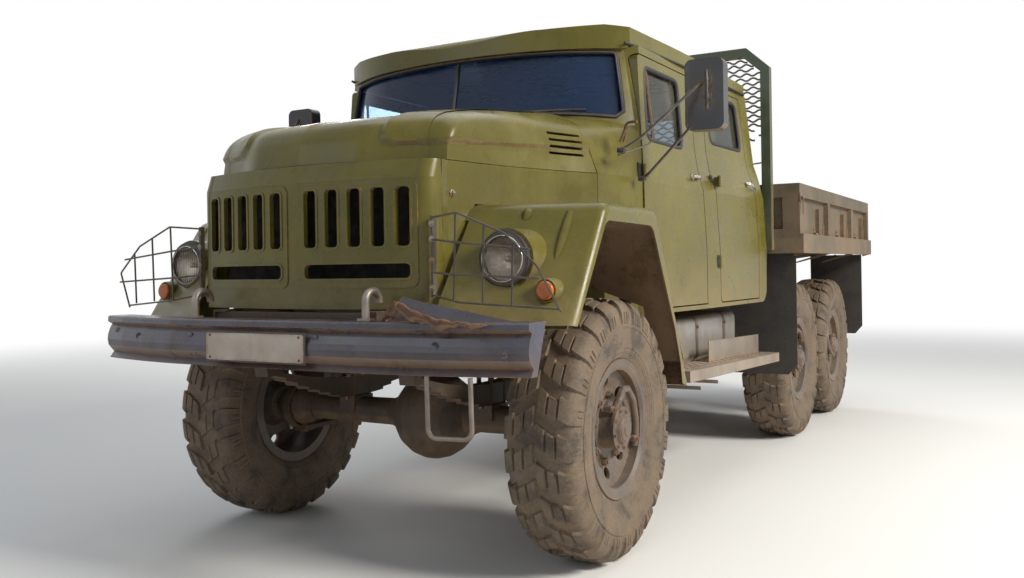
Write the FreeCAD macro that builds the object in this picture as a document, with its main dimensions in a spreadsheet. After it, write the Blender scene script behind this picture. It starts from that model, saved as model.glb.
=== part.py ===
import FreeCAD, Part
import math
import os
import re
import Sketcher
from FreeCAD import Placement, Rotation, Vector

# Six-wheel-drive cargo truck with a crew cab and a short steel bed.
# Millimetres, +Z up, front faces -Y, +X is the truck's left side.
# Heights are from the ground. Lengths in the sheet are measured rearwards from
# the front axle, and every node's Placement then moves it by the same amount,
# so that the origin lies on the ground under the middle of the truck.

# Driving dimensions: alias, value
SIZES = [
    # overall
    ("bumper_front", -1040), ("bed_rear", 5376), ("track_half", 910),
    ("wheelbase", 3350), ("bogie_base", 1250), ("slip", 1), ("joint_gap", 6),
    # tyres and wheels
    ("tyre_radius", 560), ("tyre_half_width", 160), ("bead_radius", 262),
    ("flange_radius", 296), ("rim_half_width", 122), ("rim_sheet", 10),
    ("disc_offset", 62), ("disc_thickness", 14), ("hub_radius", 88),
    ("hub_length", 150), ("hub_back", 25), ("hand_hole_radius", 26),
    ("hand_hole_circle", 196), ("hand_holes", 8),
    # frame
    ("rail_bottom", 880), ("rail_depth", 220), ("rail_flange", 75),
    ("rail_web", 8), ("frame_half", 433), ("frame_front", -904),
    ("frame_rear", 5300), ("cross_depth", 140), ("cross_width", 70),
    # bumper
    ("bumper_bottom", 878), ("bumper_depth", 190), ("bumper_half", 1095),
    ("bumper_wall", 6), ("bumper_sweep", 118), ("bumper_flat_half", 560),
    # axles
    ("axle_tube_radius", 62), ("diff_radius", 205), ("diff_shift", 90),
    ("kingpin_half", 745), ("spindle_radius", 52), ("joint_ball", 100),
    ("joint_cup", 122), ("kingpin_radius", 22), ("spring_width", 75),
    ("leaf", 12), ("trunnion_height", 700),
    # cab
    ("cab_bottom", 1015), ("cab_wall", 45), ("cowl_front", 221),
    ("toe_board", 470), ("toe_top", 1522), ("cab_rear", 2410), ("cab_top", 2350),
    ("seam", 1687), ("cowl_crown", 1990), ("door_gap", 7), ("glass", 6),
    ("floor_top", 1180), ("floor_sheet", 40), ("cab_under_half", 865),
    ("front_door_start", 600), ("front_door_end", 1375),
    ("rear_door_start", 1560), ("rear_door_end", 2262), ("hinge_radius", 10),
    ("front_hinge_half", 931), ("rear_hinge_half", 1008),
    ("roof_front", 335), ("roof_crown", 2492), ("roof_lip", 2392), ("roof_sheet", 24),
    # hood and nose
    ("hood_front", -845), ("hood_rear", 215), ("hood_front_half", 607),
    ("hood_rear_half", 850), ("hood_sheet", 12), ("hood_rise", 300),
    ("grille_front", -880), ("grille_bottom", 1105), ("grille_lean", 1612),
    ("grille_sheet", 14), ("slot_pitch", 102), ("slot_first", 92),
    ("slot_half", 29), ("slot_bottom", 1349), ("slot_top", 1577),
    # fenders
    ("fender_outer", 1145), ("fender_inner", 640), ("fender_top", 1515),
    ("fender_front", -655), ("fender_low", 1045), ("fender_lean", 0.71),
    ("fender_sweep", 0.39), ("fender_tail_top", 270), ("fender_tail", 650),
    ("fender_tail_low", 790), ("fender_foot", 672), ("fender_sheet", 10),
    ("fender_edge", 42), ("fender_crest", 75),
    ("lamp_x", 852), ("lamp_z", 1293), ("lamp_radius", 105), ("lamp_front", -657),
    ("turn_x", 1023), ("turn_z", 1172), ("turn_radius", 36),
    # bed
    ("bed_front", 2612), ("bed_rail_outer", 1243), ("bed_wall_outer", 1222),
    ("bed_rail_bottom", 1325), ("bed_floor_top", 1440), ("bed_top", 1786),
    ("bed_wall", 50), ("bed_floor_sheet", 30), ("tailgate_gap", 8),
    ("rack_half", 1051), ("rack_tube", 60), ("rack_top", 2700),
    ("rack_corner", 2560), ("rack_top_half", 900),
]

doc = FreeCAD.newDocument("cargo_truck")
sheet = doc.addObject("Spreadsheet::Sheet", "Sizes")
for row_number, (alias, value) in enumerate(SIZES, start=1):
    sheet.set(f"A{row_number}", alias)
    sheet.set(f"B{row_number}", str(value))
    sheet.setAlias(f"B{row_number}", alias)
doc.recompute()
S = {alias: float(value) for alias, value in SIZES}
ALIAS = re.compile(r"\b(" + "|".join(sorted(S, key=len, reverse=True)) + r")\b")
AXES = {"x": Vector(1, 0, 0), "y": Vector(0, 1, 0), "z": Vector(0, 0, 1)}
NODES = []
ALONG = {}
DATUM = "-(bumper_front + bed_rear) / 2"
SIDES = (("left", 1), ("right", -1))


def bound(text):
    """An expression on the sheet's aliases, as FreeCAD spells it."""
    return ALIAS.sub(r"Sizes.\1", str(text))


def place(obj, at, turn=None):
    """Bind an object's position to three expressions."""
    if turn is not None:
        obj.Placement = Placement(Vector(), Rotation(*turn))
    ALONG[obj.Name] = at[1]
    for axis, text in zip("xyz", at):
        obj.setExpression(f"Placement.Base.{axis}", bound(text))
    return obj


def node(obj, name, datum=True):
    """Name a finished sub-part and set it on the common datum."""
    obj.Label = name
    if datum:
        own = ALONG.get(obj.Name, "0")
        obj.setExpression("Placement.Base.y", bound(f"{own} + ({DATUM})"))
    NODES.append(obj)
    return obj


def box(at, size, name="block"):
    obj = doc.addObject("Part::Box", name)
    for prop, text in zip(("Length", "Width", "Height"), size):
        obj.setExpression(prop, bound(text))
    return place(obj, at)


TURN = {"x": (Vector(0, 1, 0), 90), "y": (Vector(1, 0, 0), -90), "z": None}


def rod(at, radius, length, axis="z", name="rod"):
    obj = doc.addObject("Part::Cylinder", name)
    obj.setExpression("Radius", bound(radius))
    obj.setExpression("Height", bound(length))
    return place(obj, at, TURN[axis])


def fuse(parts, name="fused"):
    obj = doc.addObject("Part::MultiFuse", name)
    obj.Shapes = list(parts)
    return obj


def cut(base, tool, name="cut"):
    obj = doc.addObject("Part::Cut", name)
    obj.Base = base
    obj.Tool = tool
    return obj


def group(parts, name="group"):
    obj = doc.addObject("Part::Compound", name)
    obj.Links = list(parts)
    return obj


def mirrored(source, name="mirror"):
    """The same piece on the truck's other side."""
    obj = doc.addObject("Part::Mirroring", name)
    obj.Source = source
    obj.Base = Vector()
    obj.Normal = AXES["x"]
    return obj


def both_sides(source, name="pair"):
    return group([source, mirrored(source)], name)


def solid(shape, name="solid"):
    """A shape made with Part's own functions, kept as a document object."""
    obj = doc.addObject("Part::Feature", name)
    obj.Shape = shape
    return obj


PLANES = {"xy": "XY_Plane", "xz": "XZ_Plane", "yz": "YZ_Plane"}


def origin_feature(body, role):
    return next(f for f in body.Origin.OriginFeatures if f.Role == role)


def sketch_on(body, plane, points, name="profile"):
    """A closed outline whose corners are all held by expressions."""
    sketch = body.newObject("Sketcher::SketchObject", name)
    sketch.AttachmentSupport = [(origin_feature(body, PLANES[plane]), "")]
    sketch.MapMode = "FlatFace"
    count = len(points)
    start = [Vector(10 * i + 10, (i * i) % 7 + 10, 0) for i in range(count)]
    for i in range(count):
        sketch.addGeometry(Part.LineSegment(start[i], start[(i + 1) % count]))
    for i in range(count):
        sketch.addConstraint(Sketcher.Constraint("Coincident", i, 2, (i + 1) % count, 1))
    for i, (first, second) in enumerate(points):
        for kind, text in (("DistanceX", first), ("DistanceY", second)):
            index = sketch.addConstraint(Sketcher.Constraint(kind, -1, 1, i, 1, 1.0))
            sketch.setExpression(f"Constraints[{index}]", bound(text))
    return sketch


def padded(plane, points, length, name="pad", middle=True, offset="0"):
    """A PartDesign pad of one outline; the outline's two columns are the plane's axes."""
    body = doc.addObject("PartDesign::Body", name)
    sketch = sketch_on(body, plane, points)
    if offset != "0":
        sketch.setExpression("AttachmentOffset.Base.z", bound(offset))
    pad = body.newObject("PartDesign::Pad", "pad")
    pad.Profile = sketch
    pad.setExpression("Length", bound(length))
    pad.Midplane = middle
    return body


def turned(points, name="turned"):
    """A PartDesign revolution about X: columns are x and radius."""
    body = doc.addObject("PartDesign::Body", name)
    sketch = sketch_on(body, "xy", points)
    spin = body.newObject("PartDesign::Revolution", "spin")
    spin.Profile = sketch
    spin.ReferenceAxis = (origin_feature(body, "X_Axis"), [""])
    spin.Angle = 360
    return body


# Shapes from Part's own functions, for forms that the features above don't give
def turned_to(axis, first, second, third):
    """A point from its two outline columns and its place along the prism's axis."""
    order = {"x": (third, first, second), "y": (first, third, second), "z": (first, second, third)}
    return Vector(*order[axis])


def prism(outline, axis, start, end):
    """A straight prism; the outline's columns are the other two axes in order."""
    points = [turned_to(axis, first, second, start) for first, second in outline]
    face = Part.Face(Part.makePolygon(points + points[:1]))
    return face.extrude(AXES[axis] * (end - start))


def runs_along(axis, share=0.999):
    """Picks the straight edges that run along one axis."""
    def pick(edge):
        if not isinstance(edge.Curve, (Part.Line, Part.LineSegment)):
            return False
        return abs(edge.tangentAt(edge.FirstParameter).dot(AXES[axis])) > share
    return pick


def rounded(shape, radius, pick):
    return shape.makeFillet(radius, [edge for edge in shape.Edges if pick(edge)])


def round_block(x, y, z, radius, axis):
    """A block between two corners, with its four edges along one axis rounded."""
    block = Part.makeBox(x[1] - x[0], y[1] - y[0], z[1] - z[0], Vector(x[0], y[0], z[0]))
    return rounded(block, radius, runs_along(axis))


def flip(shape):
    return shape.mirror(Vector(), AXES["x"])


def both(shape):
    return Part.makeCompound([shape, flip(shape)])


def tube(points, radius, bend):
    """A round bar along a path whose corners are bent to one radius."""
    path = [Vector(*point) for point in points]
    edges = []
    last = path[0]
    for before, corner, after in zip(path, path[1:], path[2:]):
        into = (corner - before).normalize()
        out = (after - corner).normalize()
        half_turn = into.getAngle(out) / 2
        back = bend * math.tan(half_turn)
        start, end = corner - into * back, corner + out * back
        inward = (out - into).normalize()
        middle = corner + inward * (bend / math.cos(half_turn) - bend)
        edges += [Part.makeLine(last, start), Part.Arc(start, middle, end).toShape()]
        last = end
    edges.append(Part.makeLine(last, path[-1]))
    wire = Part.Wire(edges)
    profile = Part.Wire([Part.makeCircle(radius, path[0], (path[1] - path[0]).normalize())])
    return wire.makePipeShell([profile], True, False)


# ---------------------------------------------------------------- wheels
AXLES = (("front", "0"), ("middle", "wheelbase"), ("rear", "wheelbase + bogie_base"))


def wheel_place(obj, sign, along):
    mark = "" if sign > 0 else "-"
    obj.Placement = Placement(Vector(), Rotation(AXES["z"], 0 if sign > 0 else 180))
    obj.setExpression("Placement.Base.x", bound(f"{mark}track_half"))
    obj.setExpression("Placement.Base.y", bound(f"{along} + ({DATUM})"))
    obj.setExpression("Placement.Base.z", bound("tyre_radius"))


def make_tyre():
    """Tyre section: x, radius. The outer half is at positive x."""
    half = [
        ("tyre_half_width - 55", "tyre_radius"), ("tyre_half_width - 20", "tyre_radius - 14"),
        ("tyre_half_width - 4", "tyre_radius - 60"), ("tyre_half_width", "flange_radius + 125"),
        ("rim_half_width + 22", "flange_radius + 50"), ("rim_half_width - 8", "flange_radius + slip"),
    ]
    other = [(f"-({x})", radius) for x, radius in reversed(half)]
    return turned(other + half, "tyre")


def make_wheel():
    """Rim, dished disc and hub in one section, then a ring of hand holes."""
    body = turned([
        ("-rim_half_width", "bead_radius - rim_sheet"), ("-rim_half_width", "flange_radius"),
        ("-rim_half_width + 8", "flange_radius"), ("-rim_half_width + 8", "bead_radius"),
        ("rim_half_width - 8", "bead_radius"), ("rim_half_width - 8", "flange_radius"),
        ("rim_half_width + 6", "flange_radius"), ("rim_half_width + 6", "bead_radius + 6"),
        ("rim_half_width - 6", "bead_radius - rim_sheet"),
        ("disc_offset + disc_thickness", "bead_radius - rim_sheet"),
        ("disc_offset + disc_thickness - 26", "hub_radius + 78"),
        ("disc_offset + disc_thickness - 26", "hub_radius + 34"), ("disc_offset", "hub_radius + 34"),
        ("disc_offset", "hub_radius"), ("hub_length - 30", "hub_radius - 6"),
        ("hub_length - 30", "hub_radius + 8"), ("hub_length - 16", "hub_radius + 8"),
        ("hub_length - 16", "hub_radius - 22"), ("hub_length", "hub_radius - 30"),
        ("hub_length", "0"), ("-hub_back", "0"), ("-hub_back", "hub_radius"),
        ("disc_offset - 26", "hub_radius + 34"), ("disc_offset - 26", "hub_radius + 78"),
        ("disc_offset", "bead_radius - rim_sheet"),
    ], "wheel")
    doc.recompute()
    hole = body.newObject("Sketcher::SketchObject", "hand_hole")
    hole.AttachmentSupport = [(origin_feature(body, "YZ_Plane"), "")]
    hole.MapMode = "FlatFace"
    hole.addGeometry(Part.Circle(Vector(S["hand_hole_circle"], 0, 0), AXES["z"], S["hand_hole_radius"]))
    across = hole.addConstraint(Sketcher.Constraint("DistanceX", -1, 1, 0, 3, S["hand_hole_circle"]))
    hole.setExpression(f"Constraints[{across}]", bound("hand_hole_circle"))
    hole.addConstraint(Sketcher.Constraint("PointOnObject", 0, 3, -1))
    size = hole.addConstraint(Sketcher.Constraint("Radius", 0, S["hand_hole_radius"]))
    hole.setExpression(f"Constraints[{size}]", bound("hand_hole_radius"))
    pocket = body.newObject("PartDesign::Pocket", "hole")
    pocket.Profile = hole
    pocket.Midplane = True
    pocket.setExpression("Length", bound("2 * (disc_offset + disc_thickness + rim_sheet)"))
    doc.recompute()
    ring = body.newObject("PartDesign::PolarPattern", "ring")
    ring.Originals = [pocket]
    ring.Axis = (origin_feature(body, "X_Axis"), [""])
    ring.Angle = 360
    ring.setExpression("Occurrences", bound("hand_holes"))
    body.Tip = ring
    return body


for axle, along in AXLES:
    for side, sign in SIDES:
        tyre = make_tyre()
        wheel_place(tyre, sign, along)
        node(tyre, f"tyre_{axle}_{side}", datum=False)
        wheel = make_wheel()
        wheel_place(wheel, sign, along)
        node(wheel, f"wheel_{axle}_{side}", datum=False)

# ---------------------------------------------------------------- frame
rail = padded("xz", [
    ("frame_half", "rail_bottom"), ("frame_half", "rail_bottom + rail_depth"),
    ("frame_half - rail_flange", "rail_bottom + rail_depth"),
    ("frame_half - rail_flange", "rail_bottom + rail_depth - rail_web"),
    ("frame_half - rail_web", "rail_bottom + rail_depth - rail_web"),
    ("frame_half - rail_web", "rail_bottom + rail_web"),
    ("frame_half - rail_flange", "rail_bottom + rail_web"),
    ("frame_half - rail_flange", "rail_bottom"),
], "frame_rear - frame_front", "rail", middle=False, offset="-frame_rear")
CROSS_MEMBERS = ("frame_front + 15", "1250", "2050", "wheelbase - 480", "wheelbase + 585",
                 "frame_rear - 90")
cross = [box(("-frame_half + rail_web", y, "rail_bottom + rail_depth - rail_web - cross_depth"),
             ("2 * (frame_half - rail_web)", "cross_width", "cross_depth"), "cross") for y in CROSS_MEMBERS]
coupling = rod(("0", "frame_rear - 20", "rail_bottom + rail_depth - rail_web - cross_depth / 2"),
               "42", "60", "y", "coupling")
node(fuse([rail, mirrored(rail), coupling] + cross), "frame")

# ---------------------------------------------------------------- bumper
# pressed face of the bumper from its top lip down: setback, height above the bottom edge
BUMPER_FACE = [(12, 190), (5, 184), (4, 164), (26, 152), (14, 134), (3, 106), (0, 84), (5, 58), (24, 36),
               (34, 26), (22, 12), (12, 0)]
BUMPER_DECK = 128
BUMPER_FOOT = 60
# stations across the left half: x, share of the end's setback
BUMPER_PLAN = [(0, 0), (0.27, 0.02), (0.51, 0.1), (0.7, 0.33), (0.86, 0.64), (1, 1)]


def bumper_wire(x, setback):
    wall = S["bumper_wall"]
    lip, top = BUMPER_FACE[0]
    inner = [(y + wall, z) for y, z in reversed(BUMPER_FACE[1:-1])]
    deck = [(BUMPER_DECK, top), *BUMPER_FACE, (BUMPER_FOOT, 0), (BUMPER_FOOT, wall), (lip + wall, wall),
            *inner, (lip + wall, top - wall), (BUMPER_DECK, top - wall)]
    points = [Vector(x, S["bumper_front"] + setback + y, S["bumper_bottom"] + z) for y, z in deck]
    return Part.makePolygon(points + points[:1])


stations = [(S["bumper_half"] * x, S["bumper_sweep"] * back) for x, back in BUMPER_PLAN]
bumper_half = Part.makeLoft([bumper_wire(*station) for station in stations], True, True)
end_along = S["bumper_front"] + S["bumper_sweep"]
end_plate = [(end_along + y, S["bumper_bottom"] + z) for y, z in BUMPER_FACE]
end_plate += [(end_along + BUMPER_FOOT, S["bumper_bottom"]),
              (end_along + BUMPER_DECK, S["bumper_bottom"] + BUMPER_FACE[0][1])]
bumper_half = bumper_half.fuse(prism(end_plate, "x", S["bumper_half"] - S["bumper_wall"], S["bumper_half"]))
# the left end's deck has torn and stands bent up
TORN_EDGE = [(500, 0), (556, 104), (640, 84), (760, 60), (930, 26), (1060, 0)]
TORN_SHEET = 5
torn_at = Vector(0, S["bumper_front"] + 92, S["bumper_bottom"] + BUMPER_FACE[0][1] - 3)
torn = prism(TORN_EDGE, "y", 0, TORN_SHEET)
torn.rotate(Vector(), AXES["x"], -28)
torn.rotate(Vector(S["bumper_flat_half"], 0, 0), AXES["z"], 6)
torn.translate(torn_at)
bumper_shape = bumper_half.fuse(flip(bumper_half)).fuse(torn).removeSplitter()
node(solid(bumper_shape, "bumper"), "bumper")

# hooks: a shank on the deck and a claw that curls back over it
HOOK_X = 447
HOOK_BAR = 15
HOOK_CURL = 38
hook_foot = S["bumper_bottom"] + BUMPER_FACE[0][1] + S["slip"]
hook_along = S["bumper_front"] + 52
hook_path = [(HOOK_X, hook_along, hook_foot), (HOOK_X, hook_along, hook_foot + 108),
             (HOOK_X, hook_along + 78, hook_foot + 112), (HOOK_X, hook_along + 84, hook_foot + 66)]
hook_foot_plate = Part.makeBox(60, 30, 10, Vector(HOOK_X - 30, hook_along - 15, hook_foot))
hook = tube(hook_path, HOOK_BAR, HOOK_CURL).fuse(hook_foot_plate)
node(solid(both(hook), "hook"), "tow_hooks")

# the round-bar step that hangs under the left end
STEP_BAR = 9
STEP_HOLD = S["bumper_bottom"] - S["slip"]
step_along = S["bumper_front"] + 62
step_loop = tube([(708, step_along, STEP_HOLD), (712, step_along, 655), (896, step_along, 662),
                  (892, step_along, STEP_HOLD)], STEP_BAR, 34)
node(solid(step_loop, "step"), "bumper_step")

# ---------------------------------------------------------------- axles
# differential case: distance from its middle and radius, as parts of diff_radius
DIFF_SECTION = [(1.2, 0.32), (0.95, 0.42), (0.8, 0.6), (0.6, 0.8), (0.35, 0.94), (0.1, 1.0)]


def axle_beam(along, reach, middle="0", end=()):
    """An axle housing: a tube that swells into the round differential case."""
    outline = [(f"-({reach})", "0")]
    outline += [(f"-({x})", radius) for x, radius in end]
    outline += [(f"-({reach})", "axle_tube_radius")] * (not end)
    for x, radius in DIFF_SECTION:
        outline.append((f"{middle} - {x} * diff_radius", f"{radius} * diff_radius"))
    for x, radius in reversed(DIFF_SECTION):
        outline.append((f"{middle} + {x} * diff_radius", f"{radius} * diff_radius"))
    outline += [(reach, "axle_tube_radius")] * (not end) + [(x, radius) for x, radius in reversed(end)]
    outline.append((reach, "0"))
    return place(turned(outline, "axle"), ("0", along, "tyre_radius"))


# the joint ball at each end of the front axle: distance from the pin and radius, as parts of joint_ball
BALL_SECTION = [(0.6, 0.8), (0.38, 0.925), (0.13, 0.99), (-0.13, 0.99), (-0.38, 0.925), (-0.6, 0.8)]
BALL_END = [(f"kingpin_half + {x} * joint_ball", f"{radius} * joint_ball") for x, radius in BALL_SECTION]
BALL_END += [("kingpin_half - 0.78 * joint_ball", "axle_tube_radius + 10"),
             ("kingpin_half - 1.04 * joint_ball", "axle_tube_radius + 10"),
             ("kingpin_half - 1.06 * joint_ball", "axle_tube_radius")]
front_beam = axle_beam("0", "kingpin_half + 0.6 * joint_ball", "diff_shift", BALL_END)
pinion = rod(("diff_shift", "diff_radius * 0.7", "tyre_radius"), "58", "diff_radius * 0.5", "y", "pinion")
spring_seat = box(("frame_half - spring_width - 8", "-75", "tyre_radius"),
                  ("spring_width + 16", "150", "axle_tube_radius + 10"), "spring_seat")
pin_bore = rod(("kingpin_half", "0", "tyre_radius - 2 * joint_ball"), "kingpin_radius + joint_gap",
               "4 * joint_ball", "z", "pin_bore")
node(cut(fuse([front_beam, pinion, spring_seat, mirrored(spring_seat)]), both_sides(pin_bore)),
     "front_axle")


def rear_beam(along):
    """A rear axle with its spring supports and its pinion housing."""
    beam = axle_beam(along, "track_half - 31")
    support = box(("frame_half + 8", f"{along} - 60", "tyre_radius"),
                  ("spring_width + 8", "120", "axle_tube_radius + 10"), "support")
    nose = rod(("0", f"{along} - 250", "tyre_radius"), "62", "250", "y", "nose")
    return fuse([beam, support, mirrored(support), nose])


node(group([rear_beam("wheelbase"), rear_beam("wheelbase + bogie_base")]), "rear_axles")

# steering knuckles: a cup round the joint ball, its pins, the spindle and the arm
for side, sign in SIDES:
    cup = turned([
        ("-joint_gap", "1.1 * joint_ball"), ("-joint_gap", "joint_cup"), ("0.28 * joint_cup", "joint_cup"),
        ("0.66 * joint_cup", "0.8 * joint_cup"), ("0.92 * joint_cup", "0.46 * joint_cup"),
        ("track_half - hub_back - joint_gap - kingpin_half", "spindle_radius"),
        ("track_half - hub_back - joint_gap - kingpin_half", "0"), ("1.1 * joint_ball", "0"),
        ("1.02 * joint_ball", "0.41 * joint_ball"), ("0.78 * joint_ball", "0.78 * joint_ball"),
        ("0.41 * joint_ball", "1.02 * joint_ball"),
    ], "cup")
    place(cup, ("kingpin_half", "0", "tyre_radius"))
    upper = rod(("kingpin_half", "0", "tyre_radius + joint_ball - 20"), "kingpin_radius", "60", "z",
                "upper_pin")
    lower = rod(("kingpin_half", "0", "tyre_radius - joint_ball - 40"), "kingpin_radius", "60", "z",
                "lower_pin")
    caps = [box(("kingpin_half - 36", "-36", "tyre_radius + joint_ball + joint_gap"), ("72", "72", "26"),
                "cap"),
            box(("kingpin_half - 36", "-36", "tyre_radius - joint_ball - joint_gap - 26"),
                ("72", "72", "26"), "cap")]
    arm = box(("kingpin_half - 24", "30", "tyre_radius - joint_ball - joint_gap - 26"), ("48", "190", "22"),
              "arm")
    knuckle = fuse([cup, upper, lower, arm] + caps)
    node(knuckle if sign > 0 else mirrored(knuckle), f"knuckle_{side}")

# ---------------------------------------------------------------- springs
# leaves of one spring from the longest: half length as a part of the first
LEAVES = [1.0, 0.98, 0.86, 0.74, 0.62, 0.5, 0.38, 0.27]


def spring_pack(x, middle, height, half, rise, up):
    """A pack of arched leaves; up is 1 when the ends are the high points."""
    radius = (half * half + rise * rise) / (2 * rise)
    centre = height + up * radius
    pack = []
    for number, share in enumerate(LEAVES):
        faces = []
        for layer in (0, 1):
            bow = radius + (number + layer) * S["leaf"]
            reach = half * share
            drop = math.sqrt(bow * bow - reach * reach)
            faces.append([Vector(x, middle - reach, centre - up * drop),
                          Vector(x, middle, centre - up * bow),
                          Vector(x, middle + reach, centre - up * drop)])
        inner, outer = faces
        wire = Part.Wire([Part.Arc(*inner).toShape(), Part.makeLine(inner[2], outer[2]),
                          Part.Arc(*reversed(outer)).toShape(), Part.makeLine(outer[0], inner[0])])
        pack.append(Part.Face(wire).extrude(AXES["x"] * S["spring_width"]))
    return pack[0].multiFuse(pack[1:]).removeSplitter()


FRONT_SPRING_HALF = 640
FRONT_SPRING_RISE = 92
REAR_SPRING_HALF = S["bogie_base"] / 2 + 50
REAR_SPRING_RISE = 66
seat_top = S["tyre_radius"] + S["axle_tube_radius"] + 10
spring_x = S["frame_half"] - S["spring_width"]
pack_depth = len(LEAVES) * S["leaf"]
front_spring = spring_pack(spring_x, 0, seat_top + pack_depth + 3, FRONT_SPRING_HALF, FRONT_SPRING_RISE, 1)
hanger_top = S["rail_bottom"] - S["slip"]
eye_height = seat_top + pack_depth + FRONT_SPRING_RISE
for y in (-FRONT_SPRING_HALF, FRONT_SPRING_HALF):
    hanger = prism([(y - 40, hanger_top), (y + 40, hanger_top), (y + 22, eye_height - 30),
                    (y - 22, eye_height - 30)],
                   "x", spring_x, spring_x + S["spring_width"])
    front_spring = front_spring.fuse(hanger)
U_BOLT = 11
for y in (-58, 58):
    for x in (spring_x - 4 + U_BOLT, spring_x + S["spring_width"] + 4 - U_BOLT):
        bolt = Part.makeCylinder(U_BOLT, pack_depth + 34, Vector(x, y, seat_top + S["slip"]))
        front_spring = front_spring.fuse(bolt)
trunnion_along = S["wheelbase"] + S["bogie_base"] / 2
rear_x = S["frame_half"] + 12
rear_pack_low = seat_top + S["slip"] + REAR_SPRING_RISE
rear_spring = spring_pack(rear_x, trunnion_along, rear_pack_low, REAR_SPRING_HALF, REAR_SPRING_RISE, -1)
saddle = Part.makeBox(S["spring_width"], 190, pack_depth + 70,
                      Vector(rear_x, trunnion_along - 95, rear_pack_low - 20))
hub = Part.makeCylinder(72, rear_x + S["spring_width"] - S["frame_half"] + 20,
                        Vector(S["frame_half"] + 1, trunnion_along, rear_pack_low - 50), AXES["x"])
rear_spring = rear_spring.fuse(saddle).fuse(hub)
node(solid(Part.makeCompound([both(front_spring), both(rear_spring)]), "springs"), "leaf_springs")

# ---------------------------------------------------------------- driveline
SHAFT = 34
gearbox = rounded(Part.makeBox(340, 560, 300, Vector(-170, 330, S["rail_bottom"] - 90)), 40,
                  runs_along("y"))
bell = Part.makeCone(215, 165, 150, Vector(0, 185, S["rail_bottom"] + 60), AXES["y"])
transfer = rounded(Part.makeBox(440, 360, 400, Vector(-220, 1440, S["rail_bottom"] - 330)), 60,
                   runs_along("y"))
input_shaft = Part.makeCylinder(SHAFT, 560, Vector(0, 885, S["rail_bottom"] + 20), AXES["y"])
train = gearbox.fuse(bell).fuse(input_shaft).fuse(transfer)


def shaft(start, end):
    """A propeller shaft with a wider joint at each end."""
    start, end = Vector(*start), Vector(*end)
    run = end - start
    way = Vector(run).normalize()
    joint = 70
    bar = Part.makeCylinder(SHAFT, run.Length, start, way)
    return bar.fuse(Part.makeCylinder(SHAFT + 16, joint, start, way)).fuse(
        Part.makeCylinder(SHAFT + 16, joint, end - way * joint, way))


mid_along = S["wheelbase"]
front_shaft = shaft((S["diff_shift"], 1440, S["tyre_radius"] + 60),
                    (S["diff_shift"], 251, S["tyre_radius"]))
mid_shaft = shaft((0, 1800, S["tyre_radius"] + 60), (0, mid_along - 257, S["tyre_radius"]))
node(solid(train.fuse(front_shaft).fuse(mid_shaft), "train"), "driveline")
node(solid(rounded(Part.makeBox(560, 760, 640, Vector(-280, -580, S["rail_bottom"] - 40)), 50,
                   runs_along("y")),
           "engine"), "engine_block")
RADIATOR = ((-450, 450), (-792, -712), (1130, 1650))
node(solid(round_block(*RADIATOR, 6, "y"), "radiator"), "radiator")
TANK_CORNER = 45
tank = round_block((S["frame_half"] + 67, 862), (1210, 2320), (700, 958), TANK_CORNER, "y")
node(solid(tank, "tank"), "fuel_tank")
MUFFLER = (-640, 740)
muffler = Part.makeCylinder(105, 900, Vector(MUFFLER[0], 1215, MUFFLER[1]), AXES["y"])
pipe = tube([(MUFFLER[0], 2110, MUFFLER[1]), (MUFFLER[0], 2600, MUFFLER[1]), (MUFFLER[0], 2700, 640)], 34, 60)
node(solid(muffler.fuse(pipe), "exhaust"), "exhaust")

# ---------------------------------------------------------------- cab
# Cab sections from front to rear: distance, then the half widths at the heights
HEIGHTS = [S["cab_bottom"], 1350, 1670, 1790, 1900, S["cab_top"]]
CAB_SECTIONS = [
    (S["cowl_front"], 850, 850, 849, 845, 840, 820),
    (S["front_door_start"], 928, 929, 925, 921, 915, 888),
    (1555, 1008, 1006, 987, 949, 930, 900),
    (S["cab_rear"], 1048, 1053, 1036, 1010, 975, 925),
]


def cab_section(along, halves, inset):
    side = [Vector(half - inset, along, z) for half, z in zip(halves, HEIGHTS)]
    side[0].z += inset
    points = side + [Vector(-p.x, p.y, p.z) for p in reversed(side)]
    return Part.makePolygon(points + points[:1])


def cab_body(inset):
    parts = []
    for first, second in zip(CAB_SECTIONS, CAB_SECTIONS[1:]):
        wires = [cab_section(row[0], row[1:], inset) for row in (first, second)]
        parts.append(Part.makeLoft(wires, True, True))
    return parts[0].multiFuse(parts[1:]).removeSplitter()


# windscreen in plan, at its foot and at its head: x and distance of the left half
SCREEN_FOOT = [(0, 285), (250, 302), (500, 352), (740, 452), (890, 590)]
SCREEN_HEAD = [(0, 378), (230, 392), (455, 430), (680, 515), (823, 612)]
SCREEN_FOOT_HEIGHT = 1945


def screen_outline(row, inset, height):
    """Two arcs each side of the middle, closed far behind the cab."""
    points = [Vector(x, y + inset, height) for x, y in row]
    back = S["cab_rear"] - inset
    other = [Vector(-p.x, p.y, height) for p in points]
    wide = 1300
    edges = [
        Part.makeLine(Vector(-wide, back, height), Vector(-wide, points[4].y + 260, height)),
        Part.makeLine(Vector(-wide, points[4].y + 260, height), other[4]),
        Part.Arc(other[4], other[3], other[2]).toShape(),
        Part.Arc(other[2], points[0], points[2]).toShape(),
        Part.Arc(points[2], points[3], points[4]).toShape(),
        Part.makeLine(points[4], Vector(wide, points[4].y + 260, height)),
        Part.makeLine(Vector(wide, points[4].y + 260, height), Vector(wide, back, height)),
        Part.makeLine(Vector(wide, back, height), Vector(-wide, back, height)),
    ]
    return Part.Wire(edges)


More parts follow.
